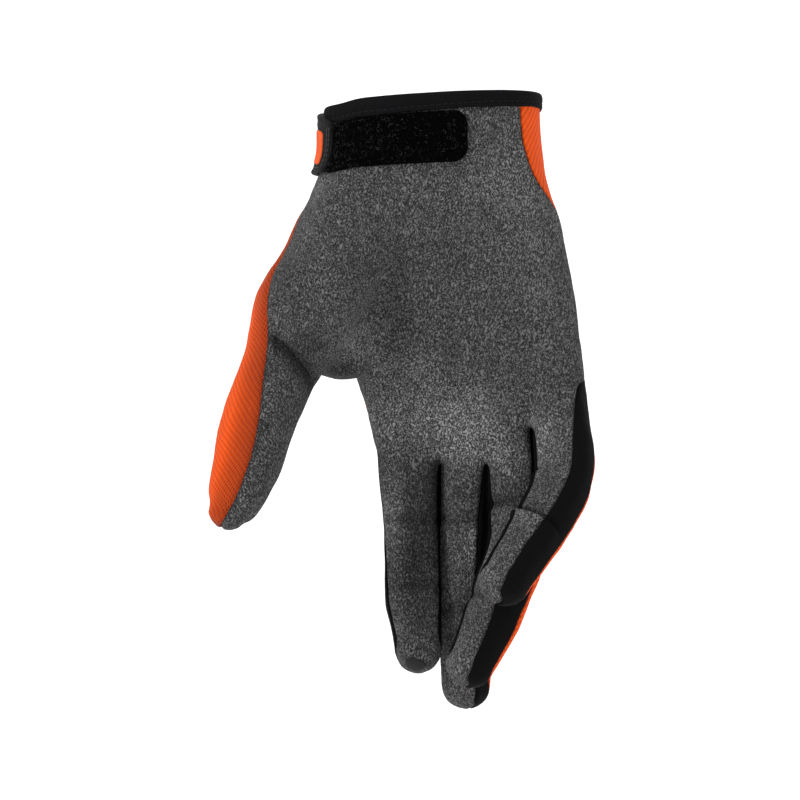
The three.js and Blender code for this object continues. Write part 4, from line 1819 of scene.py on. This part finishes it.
    def tab_stitches(self, ground: Ground, thread: Material) -> None:
        """Sew the tab down along its palm end and round its rim.

        Args:
            ground: The cloth under the tab.
            thread: The thread's material.
        """
        tab = self.tab
        parts = []
        stitch = Stitch(length=1.5, pitch=1.9, radius=0.17)
        for inset in (1.3, 3.2):
            laid = []
            for depth in np.linspace(tab.top + 1.2, tab.bottom - 1.2, 20):
                angle = tab.palm_end - inset * 1.45 + 0.06 * (tab.bottom - float(depth))
                laid.append(self.on_tab(ground, float(depth), angle))
            parts.append(stitch.through(laid))
        for depth, share in ((tab.top + 1.7, 0.1), (tab.bottom - 1.7, 0.9)):
            angles = np.linspace(tab.palm_end - 7, tab.back_end + 16, 60)
            climbs = [tab.climbed((tab.palm_end - angle) * self.arc, share) for angle in angles]
            laid = [self.on_tab(ground, depth - climb, float(angle)) for angle, climb in zip(angles, climbs)]
            parts.append(stitch.through(laid))
        hand_in(mesh_piece("tab_stitches", *joined(parts)), thread)


def add_values(piece: Object, name: str, values: Array) -> None:
    """Store one value at each of a mesh's points."""
    layer = piece.data.attributes.new(name=name, type="FLOAT", domain="POINT")
    layer.data.foreach_set("value", np.asarray(values, np.float32))


@dataclass
class Cloth:
    """The cloth pieces and the seams between them.

    Attributes:
        panels: The panels on the form.
        patch_lift: How high the touch patch's outside lies over the cloth.
        patch_wall: The patch's thickness.
        stitch_inset: How far inside the palm's edge its stitches run.
        stitched: Lowest and highest place of those stitches.
    """

    panels: Panels
    patch_lift: float = 0.35
    patch_wall: float = 0.6
    stitch_inset: float = 1.2
    stitched: tuple[float, float] = (-52.0, -9.0)

    def build(self, finishes: "Finishes") -> None:
        """Make every cloth piece.

        Args:
            finishes: The materials.
        """
        for name in self.panels.label:
            skin = self.panels.panel(name)
            slot, finish = self.dressing(name, finishes)
            piece = self.piece(name.replace("_panel", "") + "_cloth", skin, name.startswith("thumb"))
            finish_with(
                piece,
                "SOLIDIFY",
                thickness=self.panels.wall * MM,
                offset=-1.0,
                use_rim=True,
                use_even_offset=False,
                thickness_clamp=0.0,
            )
            hand_in(piece, finish, name)
        self.touch_patch(finishes)
        self.seams(finishes)

    @staticmethod
    def piece(name: str, skin: Skin, thumb: bool) -> Object:
        """Make a panel's outside as an object.

        Args:
            name: The object's name.
            skin: The panel's part of the skin.
            thumb: Whether its weave follows the thumb.

        Returns:
            The object.
        """
        keys = ("thumb_u", "thumb_v") if thumb else ("u", "v")
        weave = np.stack([skin.fields[key] for key in keys], 1) * MM
        piece = mesh_piece(name, skin.points, skin.triangles, weave)
        # The seam distances, with the gap between fingers for painted contact shade.
        add_values(piece, "seam", np.clip(skin.fields["seam"], 0, 12))
        # The painted light and shade, for the cloth's tone.
        add_values(piece, "painted_shading", skin.fields["painted_shading"])
        return piece

    @staticmethod
    def dressing(name: str, finishes: "Finishes") -> tuple[Slot, Material]:
        """The slot and the material of a panel.

        Args:
            name: The panel's name.
            finishes: The materials.

        Returns:
            The slot and the material.
        """
        if "palm" in name:
            return Slot.SUEDE, finishes.suede
        if "back" in name:
            return Slot.WEAVE, finishes.weave
        return Slot.STRETCH, finishes.stretch

    def touch_patch(self, finishes: "Finishes") -> None:
        """Make the touch patch that laps round the index fingertip.

        Args:
            finishes: The materials.
        """
        whole = self.panels.skin
        near = np.median(whole.fields["finger"][whole.triangles], axis=1) < 0.5
        skin = whole.part((whole.middle("patch") > 0) & near)
        skin.points = skin.points + skin.normals() * self.patch_lift
        piece = mesh_piece("index_touch_cloth", skin.points, skin.triangles)
        finish_with(piece, "SOLIDIFY", thickness=self.patch_wall * MM, offset=-1.0)
        hand_in(piece, finishes.touch, "index_touch_patch")

    def seams(self, finishes: "Finishes") -> None:
        """Sew the seam that shows its thread: the palm's edge at the wrist.

        Args:
            finishes: The materials.
        """
        tree = search_tree(self.panels.skin)
        panel = self.panels.panel("palm_panel")
        line = panel.points[panel.borders()[0]]
        low, high = self.stitched
        laid = []
        for point in line[(line[:, 0] > 30) & (line[:, 2] > low) & (line[:, 2] < high)]:
            place, normal, *_ = tree.find_nearest(Vector(point - np.array([self.stitch_inset, 0, 0])))
            laid.append((np.array(place), np.array(normal)))
        rods = Stitch(length=1.7, pitch=2.3, radius=0.17).through(laid)
        hand_in(mesh_piece("palm_edge_stitches", *rods), finishes.dark_thread)


def linear(red: float, green: float, blue: float) -> Colour:
    """A colour from screen values between 0 and 255.

    Args:
        red: Its red.
        green: Its green.
        blue: Its blue.

    Returns:
        The colour as the shader takes it.
    """
    values = [value / 255 for value in (red, green, blue)]
    made = [v / 12.92 if v <= 0.04045 else ((v + 0.055) / 1.055) ** 2.4 for v in values]
    return (*made, 1.0)


class Nodes:
    """A node tree that is filled by short calls."""

    def __init__(self, tree: NodeTree) -> None:
        """Take an empty tree."""
        self.tree = tree
        tree.nodes.clear()

    def add(self, kind: str, inputs: dict[str | int, object] | None = None, **settings: object) -> Node:
        """Add a node.

        Args:
            kind: The node's type.
            inputs: Sockets to link or values to set, by the input's name or number.
            settings: The node's settings.

        Returns:
            The node.
        """
        node = self.tree.nodes.new(kind)
        for key, value in settings.items():
            setattr(node, key, value)
        for key, value in (inputs or {}).items():
            socket = node.inputs[key]
            if isinstance(value, Socket):
                self.tree.links.new(value, socket)
            else:
                socket.default_value = value
        return node

    def math(self, operation: str, first: object, second: object = 0.0, third: object = 0.0) -> Socket:
        """The result of a Math node."""
        inputs = {0: first, 1: second, 2: third}
        return self.add("ShaderNodeMath", inputs, operation=operation).outputs[0]

    def vector(self, operation: str, first: object, second: object) -> Socket:
        """The result of a Vector Math node."""
        return self.add("ShaderNodeVectorMath", {0: first, 1: second}, operation=operation).outputs[0]

    def scaled(self, vector: object, scale: object) -> Socket:
        """A vector or a colour times a number."""
        return self.add("ShaderNodeVectorMath", {0: vector, "Scale": scale}, operation="SCALE").outputs[0]

    def noise(self, place: object, scale: object, detail: float, roughness: float = 0.5) -> Node:
        """A Noise Texture node."""
        inputs = {"Vector": place, "Scale": scale, "Detail": detail, "Roughness": roughness}
        return self.add("ShaderNodeTexNoise", inputs)

    def ramp(self, value: object, stops: Sequence[tuple[float, object]]) -> Socket:
        """A colour or grey from a value, by stops.

        Args:
            value: The value.
            stops: Place and colour, or place and grey, of each stop.

        Returns:
            The colour.
        """
        node = self.add("ShaderNodeValToRGB", {0: value})
        marks = node.color_ramp.elements
        while len(marks) < len(stops):
            marks.new(0.5)
        for mark, (place, colour) in zip(marks, stops):
            mark.position = place
            mark.color = colour if isinstance(colour, tuple) else (colour, colour, colour, 1.0)
        return node.outputs[0]

    def mix(self, share: object, first: object, second: object, blend: str = "MIX") -> Socket:
        """A mix of two colours.

        Args:
            share: Share of the second colour.
            first: The first colour.
            second: The second colour.
            blend: How they are mixed.

        Returns:
            The mixed colour.
        """
        node = self.add("ShaderNodeMix", data_type="RGBA", blend_type=blend)
        for number, value in ((0, share), (6, first), (7, second)):
            if isinstance(value, Socket):
                self.tree.links.new(value, node.inputs[number])
            else:
                node.inputs[number].default_value = value
        return node.outputs[2]


class Effects:
    """The shader groups that more than one finish uses."""

    def __init__(self) -> None:
        """Make the groups."""
        self.grain = self.make_grain()
        self.weave = self.make_weave()
        self.tone = self.make_tone()

    @staticmethod
    def group(
        name: str, inputs: Sequence[tuple[str, str, object]], outputs: Sequence[tuple[str, str]]
    ) -> Nodes:
        """Start a group with its sockets.

        Args:
            name: Its name.
            inputs: Name, socket type and value of each input.
            outputs: Name and socket type of each output.

        Returns:
            The group's nodes.
        """
        tree = bpy.data.node_groups.new(name, "ShaderNodeTree")
        for label, kind, value in inputs:
            socket = tree.interface.new_socket(name=label, in_out="INPUT", socket_type=kind)
            if value is not None:
                socket.default_value = value
        for label, kind in outputs:
            tree.interface.new_socket(name=label, in_out="OUTPUT", socket_type=kind)
        return Nodes(tree)

    def make_grain(self) -> NodeTree:
        """Pebbled grain: short raised ridges with dark valleys, and finer grit on them."""
        nodes = self.group(
            "pebble_grain",
            [
                ("Vector", "NodeSocketVector", None),
                ("Scale", "NodeSocketFloat", 800.0),
                ("Grit", "NodeSocketFloat", 0.4),
            ],
            [("Height", "NodeSocketFloat"), ("Ridge", "NodeSocketFloat")],
        )
        taken = nodes.add("NodeGroupInput").outputs
        warp = nodes.noise(taken["Vector"], 120.0, 1.0)
        offset = nodes.vector("SUBTRACT", warp.outputs["Color"], (0.5, 0.5, 0.5))
        bent = nodes.vector("ADD", taken["Vector"], nodes.scaled(offset, 0.003))
        worms = nodes.noise(bent, taken["Scale"], 1.2, 0.4)
        grit = nodes.noise(bent, nodes.math("MULTIPLY", taken["Scale"], 2.3), 2.0, 0.6)
        level = nodes.math("ABSOLUTE", nodes.math("SUBTRACT", worms.outputs[0], 0.5))
        ridges = nodes.ramp(level, [(0.0, 0.0), (0.17, 1.0)])
        rough = nodes.math("MULTIPLY", nodes.math("SUBTRACT", grit.outputs[0], 0.5), taken["Grit"])
        height = nodes.math("ADD", nodes.math("MULTIPLY", ridges, 0.8), nodes.math("MULTIPLY", rough, 2.0))
        ridge = nodes.ramp(height, [(0.1, 0.0), (0.75, 1.0)])
        nodes.add("NodeGroupOutput", {"Height": height, "Ridge": ridge})
        return nodes.tree

    def make_weave(self) -> NodeTree:
        """A diagonal twill: ridges along one diagonal, each broken into floats by the crossing threads."""
        nodes = self.group(
            "twill_weave",
            [("Vector", "NodeSocketVector", None), ("Pitch", "NodeSocketFloat", 0.0009)],
            [("Height", "NodeSocketFloat"), ("Gap", "NodeSocketFloat")],
        )
        taken = nodes.add("NodeGroupInput").outputs
        wobble = nodes.noise(taken["Vector"], 130.0, 2.0)
        parts = nodes.add("ShaderNodeSeparateXYZ", {0: taken["Vector"]}).outputs
        slip = nodes.math("MULTIPLY", nodes.math("SUBTRACT", wobble.outputs[0], 0.5), 0.8)
        u = nodes.math("DIVIDE", parts[0], taken["Pitch"])
        v = nodes.math("DIVIDE", parts[1], taken["Pitch"])
        diagonal = nodes.math("ADD", nodes.math("ADD", u, nodes.math("MULTIPLY", v, 0.9)), slip)
        ridge = nodes.math("SINE", nodes.math("MULTIPLY", diagonal, 2 * math.pi))
        across = nodes.math("MULTIPLY", nodes.math("SUBTRACT", u, v), 2.2)
        along = nodes.math("ADD", across, nodes.math("MULTIPLY", diagonal, 0.5))
        bead = nodes.math("SINE", nodes.math("MULTIPLY", along, 2 * math.pi))
        height = nodes.math("ADD", nodes.math("MULTIPLY", ridge, 0.3), nodes.math("MULTIPLY", bead, 0.36))
        height = nodes.math("ADD", height, 0.5)
        gap = nodes.ramp(height, [(0.05, 1.0), (0.85, 0.0)])
        nodes.add("NodeGroupOutput", {"Height": height, "Gap": gap})
        return nodes.tree

    def make_tone(self) -> NodeTree:
        """Broad uneven tone, fine lint, and the darkening beside a seam, which also paints shade where
        fingers nearly touch, times the painted light and shade.
        """
        nodes = self.group(
            "cloth_tone",
            [
                ("Vector", "NodeSocketVector", None),
                ("Seam", "NodeSocketFloat", 12.0),
                ("Painted Shading", "NodeSocketFloat", 1.0),
                ("Strength", "NodeSocketFloat", 0.15),
            ],
            [("Tone", "NodeSocketFloat"), ("Seam And Contact Shade", "NodeSocketFloat")],
        )
        taken = nodes.add("NodeGroupInput").outputs
        broad = nodes.math("MULTIPLY", nodes.noise(taken["Vector"], 42.0, 3.0).outputs[0], 0.7)
        fine = nodes.math("MULTIPLY", nodes.noise(taken["Vector"], 420.0, 3.0).outputs[0], 0.3)
        uneven = nodes.math("SUBTRACT", nodes.math("ADD", broad, fine), 0.5)
        tone = nodes.math("MULTIPLY", uneven, nodes.math("MULTIPLY", taken["Strength"], 4.0))
        # Darkening beside a seam, and painted shade where fingers nearly touch.
        fading = {0: taken["Seam"], 1: 0.1, 2: 1.1, 3: 1.0, 4: 0.0}
        beside = nodes.add("ShaderNodeMapRange", fading, interpolation_type="SMOOTHSTEP")
        # The tone times the painted light and shade that each point carries.
        tone = nodes.math("MULTIPLY", nodes.math("ADD", tone, 1.0), taken["Painted Shading"])
        nodes.add("NodeGroupOutput", {"Tone": tone, "Seam And Contact Shade": beside.outputs[0]})
        return nodes.tree


@dataclass(frozen=True)
class Finish:
    """A finish of one kind of cloth, leather or rubber.

    Attributes:
        name: The material's name.
        light: Its colour on raised places.
        dark: Its colour in the hollows.
        roughness: Its roughness.
        sheen: Strength of its soft sheen.
        bump: Depth of its relief in metres.
        scale: Its pattern's cells in a metre, or the pitch of its weave in metres.
        variation: Strength of its uneven tone.
        seam_shade: How much it darkens beside a seam and, as painted shade, where two fingers nearly touch.
        specular: Level of its reflections.
        lay: Turn of its grain in the plane of the palm.
        stretch: Scale of its grain along each way, less where the grain is longer.
    """

    name: str
    light: Colour
    dark: Colour
    roughness: float
    sheen: float
    bump: float
    scale: float
    variation: float
    seam_shade: float
    specular: float
    lay: float = 0.0
    stretch: tuple[float, float, float] = (1.0, 1.0, 1.0)

    def start(self, effects: Effects) -> tuple[Material, Nodes, Socket, Node]:
        """Start the material with its coordinates and its tone.

        Args:
            effects: The shared groups.

        Returns:
            The material, its nodes, its Object coordinates and its tone group.
        """
        material = bpy.data.materials.new(self.name)
        material.use_nodes = True
        nodes = Nodes(material.node_tree)
        place = nodes.add("ShaderNodeTexCoord").outputs["Object"]
        tone = nodes.add("ShaderNodeGroup", node_tree=effects.tone)
        nodes.tree.links.new(place, tone.inputs["Vector"])
        if self.seam_shade:
            # Besides the seams, these attributes carry the painted shade where fingers nearly touch and the
            # painted light and shade of the cloth.
            for name, socket in (("seam", "Seam"), ("painted_shading", "Painted Shading")):
                value = nodes.add("ShaderNodeAttribute", attribute_name=name).outputs["Fac"]
                nodes.tree.links.new(value, tone.inputs[socket])
        tone.inputs["Strength"].default_value = self.variation
        return material, nodes, place, tone

    def shade(self, nodes: Nodes, colour: Socket, height: Socket, tone: Node) -> None:
        """Finish the material with its shader.

        Args:
            nodes: The material's nodes.
            colour: Its colour before the uneven tone.
            height: Its relief.
            tone: Its tone group.
        """
        toned = nodes.scaled(colour, tone.outputs["Tone"])
        # Darken beside seams, and paint shade where fingers nearly touch.
        if self.seam_shade:
            share = nodes.math("MULTIPLY", tone.outputs["Seam And Contact Shade"], self.seam_shade)
            toned = nodes.mix(share, toned, tuple(0.25 * v for v in self.dark[:3]) + (1.0,))
        relief = nodes.add("ShaderNodeBump", {"Strength": 1.0, "Distance": self.bump, "Height": height})
        shader = nodes.add(
            "ShaderNodeBsdfPrincipled",
            {
                "Base Color": toned,
                "Roughness": self.roughness,
                "Specular IOR Level": self.specular,
                "Sheen Weight": self.sheen,
                "Sheen Roughness": 0.5,
                "Normal": relief.outputs[0],
            },
        )
        nodes.add("ShaderNodeOutputMaterial", {"Surface": shader.outputs[0]})

    def pebbled(self, effects: Effects, grit: float = 0.4) -> Material:
        """A leather-like finish with pebbled grain.

        Args:
            effects: The shared groups.
            grit: Strength of the fine grit on the grain.

        Returns:
            The material.
        """
        material, nodes, place, tone = self.start(effects)
        grain = nodes.add("ShaderNodeGroup", node_tree=effects.grain)
        turned = {"Vector": place, "Rotation": (0.0, self.lay, 0.0), "Scale": self.stretch}
        lay = nodes.add("ShaderNodeMapping", turned)
        nodes.tree.links.new(lay.outputs[0], grain.inputs["Vector"])
        grain.inputs["Scale"].default_value = self.scale
        grain.inputs["Grit"].default_value = grit
        colour = nodes.mix(grain.outputs["Ridge"], self.dark, self.light)
        self.shade(nodes, colour, grain.outputs["Height"], tone)
        return material

    def woven(self, effects: Effects) -> Material:
        """A woven finish that follows the cloth's own map.

        Args:
            effects: The shared groups.

        Returns:
            The material.
        """
        material, nodes, _, tone = self.start(effects)
        weave = nodes.add("ShaderNodeGroup", node_tree=effects.weave)
        own = nodes.add("ShaderNodeUVMap", uv_map="weave").outputs[0]
        nodes.tree.links.new(own, weave.inputs["Vector"])
        weave.inputs["Pitch"].default_value = self.scale
        colour = nodes.mix(weave.outputs["Gap"], self.light, self.dark)
        self.shade(nodes, colour, weave.outputs["Height"], tone)
        return material

    def smooth(self, effects: Effects) -> Material:
        """A close finish with only fine unevenness.

        Args:
            effects: The shared groups.

        Returns:
            The material.
        """
        material, nodes, place, tone = self.start(effects)
        fine = nodes.noise(place, self.scale, 4.0, 0.7)
        colour = nodes.mix(nodes.ramp(fine.outputs[0], [(0.35, 0.0), (0.65, 1.0)]), self.dark, self.light)
        self.shade(nodes, colour, fine.outputs[0], tone)
        return material

    def fibrous(self, effects: Effects) -> Material:
        """A finish for loose fibres, from dark to light by their own shade.

        Args:
            effects: The shared groups.

        Returns:
            The material.
        """
        material, nodes, _, tone = self.start(effects)
        shade = nodes.add("ShaderNodeAttribute", attribute_name="shade")
        colour = nodes.mix(shade.outputs["Fac"], self.dark, self.light)
        self.shade(nodes, colour, tone.outputs["Tone"], tone)
        return material


class Finishes:
    """Every material of the glove."""

    def __init__(self) -> None:
        """Make them."""
        effects = Effects()
        # Light, dark, roughness, sheen, bump, scale, variation, seam shade and specular of each.
        suede = (linear(113, 113, 113), linear(32, 32, 32), 0.95, 0.03, 0.0012, 1350.0, 0.24, 0.45, 0.12)
        weave = (linear(234, 87, 16), linear(186, 58, 8), 0.85, 0.02, 0.0003, 0.0024, 0.12, 0.3, 0.15)
        stretch = (linear(6, 6, 7), linear(2, 2, 3), 0.9, 0.0, 0.00008, 1500.0, 0.2, 0.3, 0.08)
        tape = (linear(4, 4, 6), linear(1, 1, 2), 0.8, 0.0, 0.0001, 900.0, 0.2, 0.0, 0.1)
        tab = (linear(26, 26, 27), linear(8, 8, 9), 0.8, 0.01, 0.00012, 1300.0, 0.15, 0.0, 0.15)
        plate = (linear(204, 84, 40), linear(184, 70, 28), 0.7, 0.0, 0.0001, 500.0, 0.1, 0.0, 0.1)
        loop = (linear(4, 4, 4), linear(1, 1, 1), 0.95, 0.0, 0.0003, 1500.0, 0.25, 0.0, 0.02)
        fibre = (linear(84, 83, 82), linear(2, 2, 2), 0.8, 0.0, 0.00001, 1.0, 0.1, 0.0, 0.04)
        touch = (linear(11, 11, 12), linear(5, 5, 6), 0.8, 0.02, 0.00006, 1800.0, 0.15, 0.0, 0.3)
        thread = (linear(60, 60, 61), linear(28, 28, 29), 0.7, 0.05, 0.00004, 3000.0, 0.1, 0.0, 0.3)
        dark_thread = (linear(24, 24, 26), linear(8, 8, 9), 0.8, 0.02, 0.00004, 3000.0, 0.1, 0.0, 0.1)
        self.suede = Finish("palm_suede", *suede, lay=0.6, stretch=(1.0, 1.0, 0.62)).pebbled(effects)
        self.weave = Finish("orange_twill", *weave).woven(effects)
        self.stretch = Finish("black_stretch", *stretch).smooth(effects)
        self.tape = Finish("binding_tape", *tape).smooth(effects)
        self.tab = Finish("tab_leather", *tab).pebbled(effects, 0.2)
        self.plate = Finish("moulded_orange", *plate).smooth(effects)
        self.loop = Finish("loop_pile", *loop).smooth(effects)
        self.fibre = Finish("loop_fibre", *fibre).fibrous(effects)
        self.touch = Finish("touch_fabric", *touch).smooth(effects)
        self.thread = Finish("sewing_thread", *thread).smooth(effects)
        self.dark_thread = Finish("dark_thread", *dark_thread).smooth(effects)


@dataclass
class Studio:
    """The floor, the backdrop, the soft lights and the camera. Its sizes are metres.

    Attributes:
        floor: Height of the floor.
        wall: How far behind the glove the backdrop rises.
        bend: Radius of the bend between floor and backdrop.
        half: Half the width of both.
        view: Place of the camera.
        frame_width: Width of the picture at the glove.
        sensor: Width of the camera's sensor in millimetres.
    """

    floor: float = -0.62
    wall: float = 3.4
    bend: float = 1.2
    half: float = 5.0
    view: tuple[float, float, float] = (-0.0133, -1.0, -0.1135)
    frame_width: float = 0.304
    sensor: float = 36.0

    def build(self) -> None:
        """Make the studio."""
        self.backdrop()
        self.lights()
        self.camera()
        self.world()

    def backdrop(self) -> None:
        """The pale floor, which bends up into the backdrop."""
        turns = np.linspace(0, math.pi / 2, 24)
        foot = self.wall - self.bend
        profile = [(-4.0, self.floor), (foot, self.floor)]
        for turn in turns[1:]:
            rise = self.bend * (1 - math.cos(turn))
            profile.append((foot + self.bend * math.sin(turn), self.floor + rise))
        profile.append((self.wall, self.floor + 5.0))
        points = [(x, y, z) for y, z in profile for x in (-self.half, self.half)]
        faces = [(2 * k, 2 * k + 1, 2 * k + 3, 2 * k + 2) for k in range(len(profile) - 1)]
        stage = mesh_piece("studio_floor", np.array(points) / MM, np.array(faces))
        paint = bpy.data.materials.new("studio_paint")
        paint.use_nodes = True
        shader = paint.node_tree.nodes["Principled BSDF"]
        shader.inputs["Base Color"].default_value = (0.93, 0.93, 0.93, 1.0)
        shader.inputs["Emission Color"].default_value = (1.0, 1.0, 1.0, 1.0)
        shader.inputs["Emission Strength"].default_value = 0.5
        shader.inputs["Roughness"].default_value = 0.95
        stage.data.materials.append(paint)

    def lights(self) -> None:
        """Large soft lights, the strongest from the upper left."""
        table = (
            ("left", (-1.4, -1.0, 0.8), 0.8, 34.0),
            ("right", (1.6, -0.3, 0.4), 1.0, 12.0),
            ("front", (-0.2, -1.7, 0.6), 1.2, 3.0),
            ("top", (0.1, -0.3, 1.5), 1.0, 11.0),
            ("back", (0.3, 1.9, 0.9), 1.6, 14.0),
        )
        target = Vector((0.0, 0.0, -0.11))
        for name, place, size, power in table:
            light = bpy.data.lights.new(name, "AREA")
            light.shape = "DISK"
            light.size = size
            light.energy = power
            lamp = bpy.data.objects.new(name, light)
            lamp.location = place
            lamp.rotation_euler = (target - Vector(place)).to_track_quat("-Z", "Y").to_euler()
            bpy.context.scene.collection.objects.link(lamp)

    def camera(self) -> None:
        """The camera at the photograph's viewing angle."""
        lens = bpy.data.cameras.new("camera")
        lens.sensor_width = self.sensor
        lens.lens = self.sensor * -self.view[1] / self.frame_width
        lens.clip_end = 60.0
        camera = bpy.data.objects.new("camera", lens)
        camera.location = self.view
        camera.rotation_euler = (math.pi / 2, 0.0, 0.0)
        bpy.context.scene.collection.objects.link(camera)
        bpy.context.scene.camera = camera

    def world(self) -> None:
        """An even pale surrounding."""
        world = bpy.data.worlds.new("surrounding")
        world.use_nodes = True
        ground = world.node_tree.nodes["Background"]
        ground.inputs["Color"].default_value = (1.0, 1.0, 1.0, 1.0)
        ground.inputs["Strength"].default_value = 0.3
        bpy.context.scene.world = world
        bpy.context.scene.view_settings.view_transform = "Standard"


def main() -> None:
    """Dress the glove and set up the studio."""
    logging.basicConfig(level=logging.INFO, format="%(name)s: %(message)s")
    deselect()
    finishes = Finishes()
    panels = Panels(HandForm())
    ground = Ground(panels.form, panels.skin)
    Cloth(panels).build(finishes)
    CuffBinding().build(ground, finishes.tape, finishes.dark_thread)
    WristClosure().build(ground, finishes)
    Studio().build()


if __name__ == "__main__":
    main()
